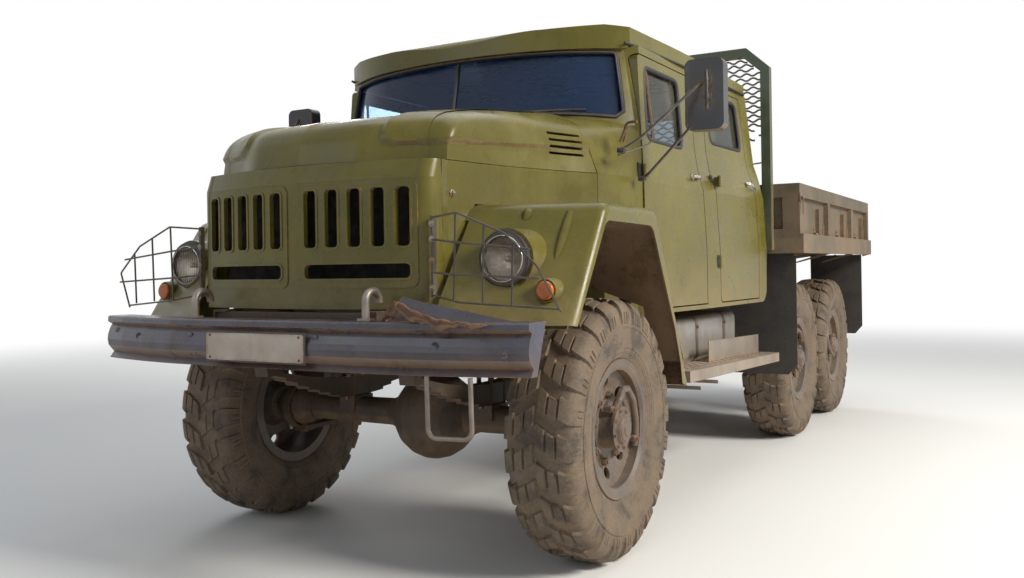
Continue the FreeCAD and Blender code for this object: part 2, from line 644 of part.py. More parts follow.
def screen_space(inset):
    """Everything behind the windscreen's surface, moved in by a wall."""
    foot = screen_outline(SCREEN_FOOT, inset, SCREEN_FOOT_HEIGHT)
    head = screen_outline(SCREEN_HEAD, inset, S["cab_top"] + 2)
    upper = Part.makeLoft([foot, head], True, True)
    under = screen_outline(SCREEN_FOOT, inset, S["cab_bottom"] - 5)
    lower = Part.makeLoft([under, foot], True, True)
    return upper.fuse(lower)


def arch_edges(half, along, low, crown, roundness, lean):
    """The bowed top of the hood or cowl in one cross-section, from left to right."""
    height = crown - low
    points = []
    for share in (0.0, 0.3, 0.55, 0.75, 0.89, 0.965):
        x = (1 - lean * share) * (1 - share ** roundness) ** (1 / roundness)
        points.append(Vector(half * x, along, low + height * share))
    edge_x = points[-1].x
    for part in (0.6, 0.0):
        x = edge_x * part
        share = (1 - (x / half) ** roundness) ** (1 / roundness)
        points.append(Vector(x, along, low + height * share))
    points += [Vector(-p.x, p.y, p.z) for p in reversed(points[:-1])]
    curve = Part.BSplineCurve()
    curve.interpolate(points)
    return curve.toShape()


def cowl_section(half, along, crown, roundness, lean, inset):
    low = S["toe_top"] - 22
    top = arch_edges(half - inset, along, S["seam"], crown - inset, roundness, lean)
    left, right = top.firstVertex().Point, top.lastVertex().Point
    edges = [Part.makeLine(Vector(right.x, along, low), Vector(left.x, along, low)),
             Part.makeLine(Vector(left.x, along, low), left), top,
             Part.makeLine(right, Vector(right.x, along, low))]
    return Part.Wire(edges)


def cowl(inset):
    front = cowl_section(S["hood_rear_half"], S["cowl_front"] + inset, S["cowl_crown"] - 3, 5.3, 0.13,
                         inset)
    rear = cowl_section(926, S["front_door_start"] + 40, 2003, 8, 0.0, inset)
    return Part.makeLoft([front, rear], True, True)


toe_cut = Part.makeBox(2600, S["toe_board"], 700, Vector(-1300, 0, S["toe_top"] - 700))
inner_toe_cut = Part.makeBox(2600, S["toe_board"] + S["cab_wall"], 700,
                             Vector(-1300, 0, S["toe_top"] + S["cab_wall"] - 700))
outer = cab_body(0).common(screen_space(0)).fuse(cowl(0)).cut(toe_cut)
inner = cab_body(S["cab_wall"]).common(screen_space(S["cab_wall"]))
inner = inner.fuse(cowl(S["cab_wall"])).cut(inner_toe_cut)
floor_slab = Part.makeBox(2600, 4000, S["floor_sheet"], Vector(-1300, 0, S["floor_top"] - S["floor_sheet"]))
shell = outer.cut(inner.cut(floor_slab))
under_half = S["cab_under_half"]
under_depth = S["floor_top"] - S["floor_sheet"] - S["cab_bottom"] + 50
under_floor = Part.makeBox(2 * under_half, S["cab_rear"] - S["toe_board"] - 2 * S["cab_wall"], under_depth,
                           Vector(-under_half, S["toe_board"] + S["cab_wall"], S["cab_bottom"] - 50))
RAIL_ROOM = 15
rail_top = S["rail_bottom"] + S["rail_depth"] + 10
rail_pass = Part.makeBox(2 * (S["frame_half"] + RAIL_ROOM), 3000, rail_top - 900,
                         Vector(-S["frame_half"] - RAIL_ROOM, 0, 900))
shell = shell.cut(under_floor).cut(rail_pass)
# the lower rear corner of each side is round
REAR_ROUND = 85
corner = Part.makeBox(2600, REAR_ROUND, REAR_ROUND, Vector(-1300, S["cab_rear"] - REAR_ROUND,
                                                           S["cab_bottom"]))
corner = corner.cut(Part.makeCylinder(REAR_ROUND, 2600, Vector(-1300, S["cab_rear"] - REAR_ROUND,
                                                               S["cab_bottom"] + REAR_ROUND), AXES["x"]))
shell = shell.cut(corner)


def side_prism(outline, near, far, shrink=0.0, radius=0.0):
    """A prism through one cab side from an outline in side view (y, z)."""
    cy = sum(p[0] for p in outline) / len(outline)
    cz = sum(p[1] for p in outline) / len(outline)
    smaller = [(y - math.copysign(shrink, y - cy), z - math.copysign(shrink, z - cz)) for y, z in outline]
    block = prism(smaller, "x", near, far)
    return rounded(block, radius, runs_along("x")) if radius else block


DOOR_LOW = S["cab_bottom"] + 22
DOOR_HIGH = 2312
DOORS = {
    # name: hinge (x, y), outline (y, z), window (y, z), hinge heights
    "front": ((S["front_hinge_half"], S["front_door_start"]),
              [(S["front_door_start"], 1330), (S["front_door_start"] + 110, DOOR_LOW),
               (S["front_door_end"], DOOR_LOW), (S["front_door_end"], DOOR_HIGH),
               (S["front_door_start"] + 16, DOOR_HIGH), (S["front_door_start"], 1900)],
              [(668, 1878), (1190, 1878), (1178, 2262), (690, 2262)], (1452, 1690)),
    "rear": ((S["rear_hinge_half"], S["rear_door_start"]),
             [(S["rear_door_start"], DOOR_LOW), (S["rear_door_end"], DOOR_LOW),
              (S["rear_door_end"], DOOR_HIGH), (S["rear_door_start"], DOOR_HIGH)],
             [(1640, 1960), (2196, 1960), (2180, 2272), (1640, 2272)], (1240, 1700)),
}
WINDOW_CORNER = 62
HINGE_LENGTH = 66
doors = {}
cab_ring = cab_body(0).cut(cab_body(S["cab_wall"]))
for which, (hinge, outline, window, heights) in DOORS.items():
    # the closing edge follows the hinge's own circle, so that the door can swing
    swing = max(y for y, z in outline) - hinge[1]
    wide = [(y + (60 if y > hinge[1] + 400 else 0), z) for y, z in outline]
    sweep = Part.makeCylinder(swing, 2000, Vector(hinge[0], hinge[1], 800))
    sweep_in = Part.makeCylinder(swing - S["door_gap"], 2000, Vector(hinge[0], hinge[1], 800))
    opening = side_prism(wide, 700, 1300, 0, 34).common(sweep)
    leaf_room = side_prism(wide, 700, 1300, S["door_gap"], 30).common(sweep_in)
    leaf = cab_ring.common(leaf_room).cut(side_prism(window, 700, 1300, 0, WINDOW_CORNER))
    for height in heights:
        barrel = Part.makeCylinder(S["hinge_radius"], HINGE_LENGTH, Vector(hinge[0], hinge[1], height))
        strap = Part.makeBox(42, 52, HINGE_LENGTH - 16, Vector(hinge[0] - 34, hinge[1] + 2, height + 8))
        leaf = leaf.fuse(barrel.fuse(strap))
        room = Part.makeCylinder(S["hinge_radius"] + S["joint_gap"], HINGE_LENGTH + 2 * S["joint_gap"],
                                 Vector(hinge[0], hinge[1], height - S["joint_gap"]))
        opening = opening.fuse(room)
    middle = S["cab_wall"] / 2
    skin = cab_body(middle - S["glass"] / 2).cut(cab_body(middle + S["glass"] / 2))
    pane = skin.common(side_prism(window, 700, 1300, 0.5, WINDOW_CORNER))
    shell = shell.cut(opening).cut(flip(opening))
    doors[which] = (leaf, pane)

# windscreen opening and back window
SCREEN_OPENING = [(-858, 1974), (-806, 2322), (806, 2322), (858, 1974)]


def screen_cutter(shrink):
    left = [(x - math.copysign(shrink, x), z + (shrink if z < 2100 else -shrink)) for x,
            z in SCREEN_OPENING]
    low, high = 2014 + shrink, 2334 - shrink
    corners = [Vector(x, 150, z) for x, z in left]
    edges = [Part.makeLine(corners[0], corners[1]),
             Part.Arc(corners[1], Vector(0, 150, high), corners[2]).toShape(),
             Part.makeLine(corners[2], corners[3]),
             Part.Arc(corners[3], Vector(0, 150, low), corners[0]).toShape()]
    block = Part.Face(Part.Wire(edges)).extrude(AXES["y"] * 520)
    return rounded(block, 50, runs_along("y"))


back_window = round_block((-500, 500), (S["cab_rear"] - 120, S["cab_rear"] + 80), (1960, 2260), 50, "y")
shell = shell.cut(screen_cutter(0)).cut(back_window)
node(solid(shell, "cab"), "cab_shell")
glass_depth = S["cab_wall"] / 2
glass_skin = screen_space(glass_depth - S["glass"] / 2).cut(screen_space(glass_depth + S["glass"] / 2))
glass_front = glass_skin.common(screen_cutter(0.5))
pane_back = back_window.common(Part.makeBox(1200, S["glass"], 500,
                                            Vector(-600, S["cab_rear"] - glass_depth, 1900)))
pane_back = pane_back.common(Part.makeBox(999, 400, 299, Vector(-499.5, S["cab_rear"] - 200, 1960.5)))
node(solid(Part.makeCompound([glass_front, pane_back]), "glass"), "cab_glass")

for which, (leaf, pane) in doors.items():
    for side, sign in SIDES:
        node(solid(leaf if sign > 0 else flip(leaf), "door"), f"{which}_door_{side}")
        node(solid(pane if sign > 0 else flip(pane), "pane"), f"{which}_door_glass_{side}")

# roof: the visor and gutter line in plan, bowed both ways
ROOF_BELT, ROOF_BELT_ALONG = 908, 1400
ROOF_BACK, ROOF_CHAMFER = 932, 60
ROOF_FRONT = [(0, S["roof_front"]), (230, 352), (470, 400), (690, 490), (862, 606)]


def roof_plan(inset, low, high):
    points = [Vector(x - inset * (i == 4), y + inset, low) for i, (x, y) in enumerate(ROOF_FRONT)]
    other = [Vector(-p.x, p.y, low) for p in points]
    belt, back = ROOF_BELT - inset, ROOF_BACK - inset
    rear = S["cab_rear"] + 14 - inset
    side = [(points[4].x, points[4].y), (belt, ROOF_BELT_ALONG), (back, rear - ROOF_CHAMFER),
            (back - ROOF_CHAMFER, rear)]
    behind = [Vector(x, y, low) for x, y in side + [(-x, y) for x, y in reversed(side)]]
    edges = [Part.Arc(other[4], other[3], other[2]).toShape(),
             Part.Arc(other[2], points[0], points[2]).toShape(),
             Part.Arc(points[2], points[3], points[4]).toShape()]
    edges += [Part.makeLine(first, second) for first, second in zip(behind, behind[1:])]
    return Part.Face(Part.Wire(edges)).extrude(AXES["z"] * (high - low))


def bowed(axis, start, end, low, shoulder, crown, turn, span):
    """A prism whose top is a shallow arch between two rounded shoulders."""
    middle = (start + end) / 2
    corners = [(start, low), (start, shoulder), (start + turn * 0.3, shoulder + turn * 0.55),
               (start + turn, shoulder + turn * 0.8), (middle, crown), (end - turn, shoulder + turn * 0.8),
               (end - turn * 0.3, shoulder + turn * 0.55), (end, shoulder), (end, low)]
    p = [turned_to(axis, first, second, span[0]) for first, second in corners]
    edges = [Part.Arc(p[i], p[i + 1], p[i + 2]).toShape() for i in (1, 3, 5)]
    edges = [Part.makeLine(p[0], p[1])] + edges + [Part.makeLine(p[7], p[8]), Part.makeLine(p[8], p[0])]
    return Part.Face(Part.Wire(edges)).extrude(AXES[axis] * (span[1] - span[0]))


def roof_block(inset):
    low, crown = S["cab_top"] + S["slip"] - inset, S["roof_crown"] - inset
    half = ROOF_BACK + 8 - inset
    front, rear = S["roof_front"] - 4 + inset, S["cab_rear"] + 18 - inset
    across = bowed("y", -half, half, low, S["roof_lip"] - 8, crown, 62, (200, 2600))
    lengthwise = bowed("x", front, rear, low, S["roof_lip"] - 14, crown, 70, (-1000, 1000))
    return roof_plan(inset, low, S["roof_crown"] + 40).common(across).common(lengthwise)


roof_plan_in = Part.Face(screen_outline(SCREEN_HEAD, S["cab_wall"], S["cab_top"] - 50))
roof_inner = roof_plan_in.extrude(AXES["z"] * (S["roof_crown"] - S["cab_top"] + 50))
roof_inner = roof_block(S["roof_sheet"]).common(roof_inner)
# the roof's front edge hangs over the windscreen like a visor
VISOR_DROP = 20
VISOR_CLEAR = -12
visor_low = S["cab_top"] + S["slip"] - VISOR_DROP
visor_clear = Part.Face(screen_outline(SCREEN_HEAD, VISOR_CLEAR, visor_low - 1))
visor_clear = visor_clear.extrude(AXES["z"] * (VISOR_DROP + 2))
visor = roof_plan(0, visor_low, S["cab_top"] + S["slip"] + 2).cut(visor_clear)
visor = visor.common(Part.makeBox(2000, 270, 100, Vector(-1000, S["roof_front"] - 5, visor_low)))
roof = roof_block(0).cut(roof_inner).fuse(visor)
node(solid(max(roof.Solids, key=lambda part: part.Volume), "roof"), "roof")

node(solid(round_block((-780, 780), (620, 780), (1640, 1830), 45, "x"), "dash"), "dashboard")
WHEEL_TILT = -38
COLUMN_LENGTH = 600
wheel_centre = Vector(430, 905, 1760)
ring = Part.makeTorus(215, 13, wheel_centre, AXES["z"])
spokes = [Part.makeBox(420, 22, 12, wheel_centre + Vector(-210, -11, -6)),
          Part.makeBox(22, 210, 12, wheel_centre + Vector(-11, -210, -6))]
boss = Part.makeCone(30, 44, 40, wheel_centre + Vector(0, 0, -35))
column = Part.makeCylinder(20, COLUMN_LENGTH, wheel_centre + Vector(0, 0, -COLUMN_LENGTH))
steering = ring.multiFuse(spokes + [boss, column])
steering.rotate(wheel_centre, AXES["x"], WHEEL_TILT)
node(solid(Part.makeCompound([steering]), "steering"), "steering_wheel")
SEAT_ROWS = [(1085, 460), (1795, 460)]
SEAT_HALF = 760
seat_low = 1330
cushions = []
seat_boxes = []
for start, depth in SEAT_ROWS:
    cushions.append(round_block((-SEAT_HALF, SEAT_HALF), (start, start + depth - 20), (seat_low, 1465), 40,
                                "x"))
    cushions.append(round_block((-SEAT_HALF, SEAT_HALF), (start + depth - 8, start + depth + 98),
                                (seat_low + 10, 1960), 42, "x"))
    seat_boxes.append(Part.makeBox(2 * SEAT_HALF - 80, depth - 60, seat_low - 2 - S["floor_top"],
                                   Vector(40 - SEAT_HALF, start + 20, S["floor_top"] + S["slip"])))
node(solid(Part.makeCompound(cushions), "cushions"), "seats")
node(solid(Part.makeCompound(seat_boxes), "seat_boxes"), "seat_frames")


# ---------------------------------------------------------------- hood
SIDE_PLAN = [(-668, S["hood_front_half"]), (-345, 659), (7, 763), (S["hood_rear"] + 5, S["hood_rear_half"])]
NOSE_PLAN = [(0, S["hood_front"]), (237, -825), (419, -748), (540, -694), (S["hood_front_half"], -668)]
# rise of the hood's top line behind the front edge, as distance and part of hood_rise
RISE = [(0, 0), (8, 0.2), (16, 0.31), (28, 0.39), (44, 0.47), (70, 0.54), (110, 0.6), (170, 0.655),
        (250, 0.7),
        (345, 0.75), (470, 0.8), (600, 0.845), (863, 0.925), (1063, 1.0)]
HOOD_ROWS = [0, 8, 16, 28, 44, 70, 110, 170, 250, 345, 470, 600, 863, 1063]


def between(table, value):
    """Straight-line interpolation in a table of two columns."""
    for (x0, y0), (x1, y1) in zip(table, table[1:]):
        if value <= x1:
            return y0 + (y1 - y0) * (value - x0) / (x1 - x0)
    return table[-1][1]


def hood_point(share, behind, inset):
    """A point of the hood: height share up one half section, distance behind the front edge."""
    reach = (behind - HOOD_ROWS[0]) / (HOOD_ROWS[-1] - HOOD_ROWS[0])
    roundness = 11 - 5.7 * reach
    lean = 0.13 * reach
    rise = S["hood_rise"] * between(RISE, behind) - inset * (behind > 0)
    if share <= 1:
        x = (1 - lean * share) * max(0.0, 1 - share ** roundness) ** (1 / roundness)
        level = share
    else:
        edge = (1 - lean * 0.96) * (1 - 0.96 ** roundness) ** (1 / roundness)
        x = edge * (2 - share)
        level = max(0.0, 1 - x ** roundness) ** (1 / roundness)
    front = between(NOSE_PLAN, min(x * S["hood_front_half"], S["hood_front_half"]))
    along = front + inset + (S["hood_rear"] + (40 if inset else 0) - front - inset) * reach
    half = between(SIDE_PLAN, max(along, SIDE_PLAN[0][0])) - inset
    return Vector(half * x, along, S["seam"] + 3 + rise * level)


HOOD_COLUMNS = [0.0, 0.25, 0.5, 0.7, 0.84, 0.93, 0.96, 1.25, 1.5, 1.75, 2.0]


def hood_solid(inset):
    """The hood's outer or inner form: straight-sided between its bowed cross-sections."""
    wires = []
    for behind in HOOD_ROWS:
        left = [hood_point(share, behind, inset) for share in HOOD_COLUMNS]
        points = left + [Vector(-p.x, p.y, p.z) for p in reversed(left[:-1])]
        curve = Part.BSplineCurve()
        curve.interpolate(points)
        wires.append(Part.Wire([curve.toShape(), Part.makeLine(points[-1], points[0])]))
    return Part.makeLoft(wires, True, True)


# the raised panel on each side of the hood: its edge in plan, and the lowest height it reaches
BULGE_PLAN = [(400, -700), (418, -735), (480, -790), (1000, -790), (1000, 400), (486, 400), (440, -100)]
BULGE_LOW = 1748
BULGE_PROUD = 8


bulge = prism(BULGE_PLAN, "z", BULGE_LOW, S["cowl_crown"])
raised_hood = hood_solid(-BULGE_PROUD).common(bulge.fuse(flip(bulge)))
hood_shape = hood_solid(0).fuse(raised_hood).cut(hood_solid(S["hood_sheet"]))
hood_shape = hood_shape.common(Part.makeBox(2600, 3000, 500,
                                            Vector(-1300, S["hood_rear"] - 3000, S["seam"])))
# cooling slots on each shoulder: heights of the four and their reach
LOUVRES = [1765, 1795, 1825, 1855]
LOUVRE_SPAN = (-30, 172)
LOUVRE_HALF = 6
for height in LOUVRES:
    slot = round_block((600, 1000), LOUVRE_SPAN, (height - LOUVRE_HALF, height + LOUVRE_HALF),
                       LOUVRE_HALF - 1, "x")
    hood_shape = hood_shape.cut(slot).cut(flip(slot))
node(solid(hood_shape, "hood"), "hood")

# ---------------------------------------------------------------- nose
# nose panel in plan: x and distance of the left half
NOSE = [(0, -880), (300, -846), (545, -802), (592, -782), (609, -735), (612, -715)]
NOSE_TOP = S["seam"] - 3


def nose_wire(inset, height, back=0.0):
    """The outline of the nose panel, open to the rear, moved in by a sheet."""
    row = [(x - inset * (x > 560), y + inset * (x < 609) + back) for x, y in NOSE]
    p = [Vector(x, y, height) for x, y in row]
    q = [Vector(-v.x, v.y, height) for v in p]
    edges = [Part.Arc(q[2], p[0], p[2]).toShape(), Part.Arc(p[2], p[3], p[4]).toShape(),
             Part.makeLine(p[4], p[5]), Part.makeLine(p[5], q[5]), Part.makeLine(q[5], q[4]),
             Part.Arc(q[4], q[3], q[2]).toShape()]
    return Part.Wire(edges)


def nose_block(inset):
    """The nose: upright to the crease, then leaning back to the hood's edge."""
    upright = S["grille_lean"] - S["grille_bottom"]
    low = Part.Face(nose_wire(inset, S["grille_bottom"])).extrude(AXES["z"] * upright)
    top = Part.makeLoft([nose_wire(inset, S["grille_lean"]), nose_wire(inset, NOSE_TOP, 26)], True, True)
    return low.fuse(top)


nose_inner = nose_block(S["grille_sheet"])
nose = nose_block(0).cut(nose_inner)
LIP_WIDTH = 9
LIP_PROUD = 9
FRAME_PROUD = 5
SLOTS = [S["slot_first"] + S["slot_pitch"] * i for i in range(5)]
FRAME_X = (S["slot_first"] - S["slot_half"] - 34, SLOTS[-1] + S["slot_half"] + 30)
LOW_SLOT_Z = (1226, 1282)
LOW_SLOT_X = (S["slot_first"] - S["slot_half"], SLOTS[-1] + S["slot_half"])
REACH = (-1000, -700)
raised = nose_block(-FRAME_PROUD).common(
    round_block(FRAME_X, REACH, (1188, S["slot_top"] + 26), 34, "y"))
lips = nose_block(-LIP_PROUD)
lip_rooms = []
slot_rooms = []
for middle in SLOTS:
    span = (middle - S["slot_half"], middle + S["slot_half"])
    tall = (S["slot_bottom"], S["slot_top"])
    slot_rooms.append(round_block(span, REACH, tall, 16, "y"))
    lip_rooms.append(round_block((span[0] - LIP_WIDTH, span[1] + LIP_WIDTH), REACH,
                                 (tall[0] - LIP_WIDTH, tall[1] + LIP_WIDTH), 24, "y"))
slot_rooms.append(round_block(LOW_SLOT_X, REACH, LOW_SLOT_Z, 18, "y"))
lip_rooms.append(round_block((LOW_SLOT_X[0] - LIP_WIDTH, LOW_SLOT_X[1] + LIP_WIDTH), REACH,
                             (LOW_SLOT_Z[0] - LIP_WIDTH, LOW_SLOT_Z[1] + LIP_WIDTH), 26, "y"))
left_lips = lips.common(Part.makeCompound(lip_rooms))
press = raised.fuse(left_lips).cut(nose_inner)
nose = nose.fuse(press).fuse(flip(press))
for room in slot_rooms:
    nose = nose.cut(room).cut(flip(room))
nose = nose.common(Part.makeBox(2000, 400, 1000, Vector(-1000, NOSE[-1][1] - 400, 1000)))
node(solid(nose.removeSplitter(), "nose"), "grille")

# side panels of the hood, from the nose to the cowl
side_top = S["seam"] - 3
PANEL_START = NOSE[-1][1] + 2
SIDE_PANEL = [(PANEL_START, 1216), (-600, 1216), (-508, S["fender_top"] + 3),
              (S["cowl_front"] - 3, S["fender_top"] + 3),
              (S["cowl_front"] - 3, side_top), (PANEL_START, side_top)]
side_strip = [(x - S["hood_sheet"], y) for y, x in SIDE_PLAN]
outer_strip = [(x, y) for y, x in reversed(SIDE_PLAN)]
strip_points = [(612 - S["hood_sheet"], -716)] + side_strip + outer_strip + [(612, -716)]
panel = prism(strip_points, "z", 1100, side_top).common(prism(SIDE_PANEL, "x", 500, 900))
node(solid(both(panel), "panel"), "hood_sides")

# ---------------------------------------------------------------- fenders
WING_TAPER = 0.03
WING_HEEL = 18


def wing_corners(x, inset, drop):
    """Corners of one side-view section of the wing: leaning front, flat top, sloping tail and heel."""
    front_low = S["fender_front"] + S["fender_sweep"] * (x - S["fender_outer"]) + inset
    front_high = front_low + S["fender_lean"] * (S["fender_top"] - S["fender_low"])
    outline = [(front_low - S["fender_lean"] * drop, S["fender_low"] - drop),
               (front_high, S["fender_top"] - inset),
               (S["fender_tail_top"] - inset, S["fender_top"] - inset),
               (S["fender_tail"] - inset, S["fender_tail_low"]),
               (S["fender_tail"] + WING_HEEL - inset, S["fender_foot"] - drop)]
    return [Vector(x - WING_TAPER * (y - S["fender_front"]), y, z) for y, z in outline]


def flat_face(*points):
    return Part.Face(Part.makePolygon([*points, points[0]]))


def wing_solid(inset, drop):
    """The wing without its hollow, its outer and upper edges rounded."""
    outer_x = S["fender_outer"] - inset
    near, far = wing_corners(S["fender_inner"] - 60, inset, drop), wing_corners(outer_x, inset, drop)
    faces = [flat_face(*near), flat_face(*far), flat_face(near[4], near[0], far[0]),
             flat_face(near[4], far[0], far[4])]
    faces += [flat_face(near[i], near[i + 1], far[i + 1], far[i]) for i in range(4)]
    block = Part.Solid(Part.Shell(faces))
    if block.Volume < 0:
        block.reverse()
    across = [e for e in block.Edges if e.BoundBox.XLength > 300]
    crest = [e for e in across if e.BoundBox.ZMin > S["fender_top"] - inset - 5]
    block = block.makeFillet(S["fender_crest"] - inset, crest)
    outer = [e for e in block.Edges if e.BoundBox.XMin > outer_x - 60]
    rim = [e for e in outer if e.BoundBox.ZMax > S["fender_low"] + 20]
    return block.makeFillet(S["fender_edge"] - inset, rim)


# the opening in the wing's side and the room behind it, in side view: distance and height
ARCH = [(-690, 960), (-640, 1030), (-338, 1440), (205, 1434), (498, 961), (575, 790), (620, 600)]
WHEEL_ROOM = [(-690, 960), (-640, 1030), (-338, 1450), (248, 1450), (622, 799), (655, 600)]
LINER = 10
ARCH_CORNER = 70
ARCH_CROWN = 1400
PAST_SKIN = 1300
WALL_FOOT = S["tyre_radius"] * 2 + 14


def arched(outline, near, far):
    """A prism across the wing whose two upper corners are round."""
    block = prism(outline, "x", near, far)
    corners = [e for e in block.Edges if runs_along("x")(e) and e.BoundBox.ZMin > ARCH_CROWN]
    return block.makeFillet(ARCH_CORNER, corners)


room_far = S["fender_outer"] - WING_TAPER * PAST_SKIN
liner_outline = [(y + math.copysign(LINER, y), z + LINER * (z > ARCH_CROWN)) for y, z in WHEEL_ROOM]
wheel_room = arched(WHEEL_ROOM, S["fender_inner"] + LINER, room_far)
liner = arched(liner_outline[1:5], S["fender_inner"], room_far)
liner = liner.cut(arched(WHEEL_ROOM, S["fender_inner"] + LINER, PAST_SKIN))
liner = liner.cut(Part.makeBox(LINER + 10, 1600, WALL_FOOT, Vector(S["fender_inner"] - 5, -800, 0)))
hood_plan = [(0, -1500), (S["hood_front_half"] + 6, -1500)] + [(x + 1, y) for y, x in SIDE_PLAN] + [
    (929, S["front_door_start"] - 4), (950, S["front_door_start"] + 60), (950, 1500), (0, 1500)]
inside = prism(hood_plan, "z", S["fender_top"] - 66, 3000)
inside_low = prism([(0, -1500), (S["fender_inner"], -1500), (S["fender_inner"], 400), (962, 470),
                    (962, 1500), (0, 1500)],
                   "z", 0, S["fender_top"] - 66)
nose_room = prism([(0, -1500), (613, -1500), (613, -700), (0, -700)], "z", 0, 3000)
skin_back = wing_solid(S["fender_sheet"], 100)
fender = wing_solid(0, 0).cut(skin_back).cut(arched(ARCH, S["fender_inner"] + LINER,
                                                    PAST_SKIN)).cut(wheel_room)
fender = fender.fuse(liner).cut(inside).cut(inside_low).cut(nose_room)
bucket = Part.makeCylinder(S["lamp_radius"] + 12, 170, Vector(S["lamp_x"], S["lamp_front"] + 16,
                                                              S["lamp_z"]), AXES["y"])
pod = Part.makeCylinder(S["turn_radius"] + 8, 90, Vector(S["turn_x"], S["fender_front"] + 6, S["turn_z"]),
                        AXES["y"])
fender = fender.fuse(bucket.fuse(pod).cut(skin_back))
lamp_room = Part.makeCylinder(S["lamp_radius"] + 1, 300, Vector(S["lamp_x"], -700, S["lamp_z"]), AXES["y"])
turn_room = Part.makeCylinder(S["turn_radius"] + 1, 300, Vector(S["turn_x"], -700, S["turn_z"]), AXES["y"])
fender = fender.cut(lamp_room).cut(turn_room)
node(solid(both(fender), "fender"), "fenders")

DISH_RADIUS = 86
DISH_DEPTH = 60
LENS_BOW = 330
LENS_PROUD = 20


def lamp_cylinder(radius, start, length):
    """A cylinder on the headlamp's axis, from a distance behind the lamp's front."""
    return Part.makeCylinder(radius, length, Vector(S["lamp_x"], S["lamp_front"] + start, S["lamp_z"]),
                             AXES["y"])


bowl = lamp_cylinder(S["lamp_radius"], 8, 150)
dish = Part.makeCone(DISH_RADIUS, 50, DISH_DEPTH, Vector(S["lamp_x"], S["lamp_front"] + 8, S["lamp_z"]),
                     AXES["y"])
bezel = lamp_cylinder(S["lamp_radius"], -2, 10).cut(lamp_cylinder(DISH_RADIUS + 4, -LENS_PROUD, DISH_DEPTH))
node(solid(both(bowl.cut(dish).fuse(bezel)), "bowl"), "headlamps")
lens_ball = Part.makeSphere(LENS_BOW, Vector(S["lamp_x"], S["lamp_front"] - LENS_PROUD + LENS_BOW,
                                             S["lamp_z"]))
lens_room = lamp_cylinder(DISH_RADIUS - S["slip"], -LENS_PROUD, LENS_PROUD + 6)
lens = lens_ball.common(lens_room)
node(solid(both(lens), "lens"), "headlamp_lenses")
turn_lens = Part.makeCylinder(S["turn_radius"], 70, Vector(S["turn_x"], S["fender_front"] - 12,
                                                           S["turn_z"]), AXES["y"])
turn_lens = turn_lens.makeFillet(8, [e for e in turn_lens.Edges if e.BoundBox.YMax < S["fender_front"] - 5])
node(solid(both(turn_lens), "turn_lens"), "indicators")

# wire guards in front of the lamps
GUARD_BAR = 4
GUARD = -802
BULGE = -846
guard = Part.makeBox(10, 24, 310, Vector(614, GUARD, 1150))
GUARD_WIRES = [
    [(618, GUARD, 1452), (760, BULGE, 1464), (960, BULGE, 1382), (1092, BULGE, 1262),
     (1140, GUARD + 40, 1100)],
    [(618, GUARD, 1371), (754, BULGE, 1355), (1062, BULGE, 1323)],
    [(618, GUARD, 1246), (752, BULGE, 1236), (1098, BULGE, 1220)],
    [(618, GUARD, 1160), (772, BULGE, 1134), (1138, GUARD + 40, 1108)],
]
GUARD_BARS = [[(756, BULGE, 1462), (744, BULGE, 1136)], [(876, BULGE, 1416), (868, BULGE, 1132)],
              [(996, BULGE, 1352), (988, BULGE, 1122)]]
for points in GUARD_WIRES:
    guard = guard.fuse(tube(points, GUARD_BAR, 24))
for low_end, high_end in GUARD_BARS:
    run = Vector(*high_end) - Vector(*low_end)
    guard = guard.fuse(Part.makeCylinder(GUARD_BAR, run.Length, Vector(*low_end), run))
node(solid(both(guard), "guard"), "lamp_guards")

# ---------------------------------------------------------------- mirrors
MIRROR_BAR = 7
housing = round_block((1152, 1338), (566, 640), (1892, 2228), 34, "y")
housing = housing.fuse(Part.makeBox(8, 8, 8, Vector(1240, 600, 2040)))
arms = tube([(915, 300, 1784), (1010, 330, 1840), (1262, 590, 2150), (1262, 604, 2130)], MIRROR_BAR, 14)
lower_arm = tube([(940, 520, 1668), (995, 500, 1700), (1262, 604, 2010), (1262, 604, 2050)], MIRROR_BAR, 14)
node(solid(both(housing.fuse(arms).fuse(lower_arm)), "mirror"), "mirrors")

# ---------------------------------------------------------------- steps and flaps
# the board drops a little rearwards: distance and height of its top
BOARD_TOP = [(724, 735), (2490, 678)]
BOARD_DEPTH = 57
BOARD_SHEET = 6
BOARD_X = (868, 1103)
ARM_STATIONS = (900, 1190, 2345)
ARM_SHEET = 8
# the upright plate on the board: start, end, depth below the board's top, height over it, inner and outer x
KICK_PLATE = (1400, 2440, -2, 118, 978, 982)


def board_strip(start, end, low, high, x_in, x_out):
    """A strip along the board between two depths from its top."""
    outline = [(y, between(BOARD_TOP, y) + z) for y, z in ((start, low), (end, low), (end, high),
                                                           (start, high))]
    return prism(outline, "x", x_in, x_out)


first, last = BOARD_TOP[0][0], BOARD_TOP[1][0]
BOARD_STRIPS = [
    # start, end, depth, inner x
    (first, last, BOARD_SHEET, BOARD_X[0]),
    (first, last, BOARD_DEPTH, BOARD_X[1] - BOARD_SHEET),
    (first, first + BOARD_SHEET, BOARD_DEPTH, BOARD_X[0]),
    (last - BOARD_SHEET, last, BOARD_DEPTH, BOARD_X[0]),
]
board = board_strip(*KICK_PLATE)
for start, end, depth, x_in in BOARD_STRIPS:
    board = board.fuse(board_strip(start, end, -depth, 0, x_in, BOARD_X[1]))
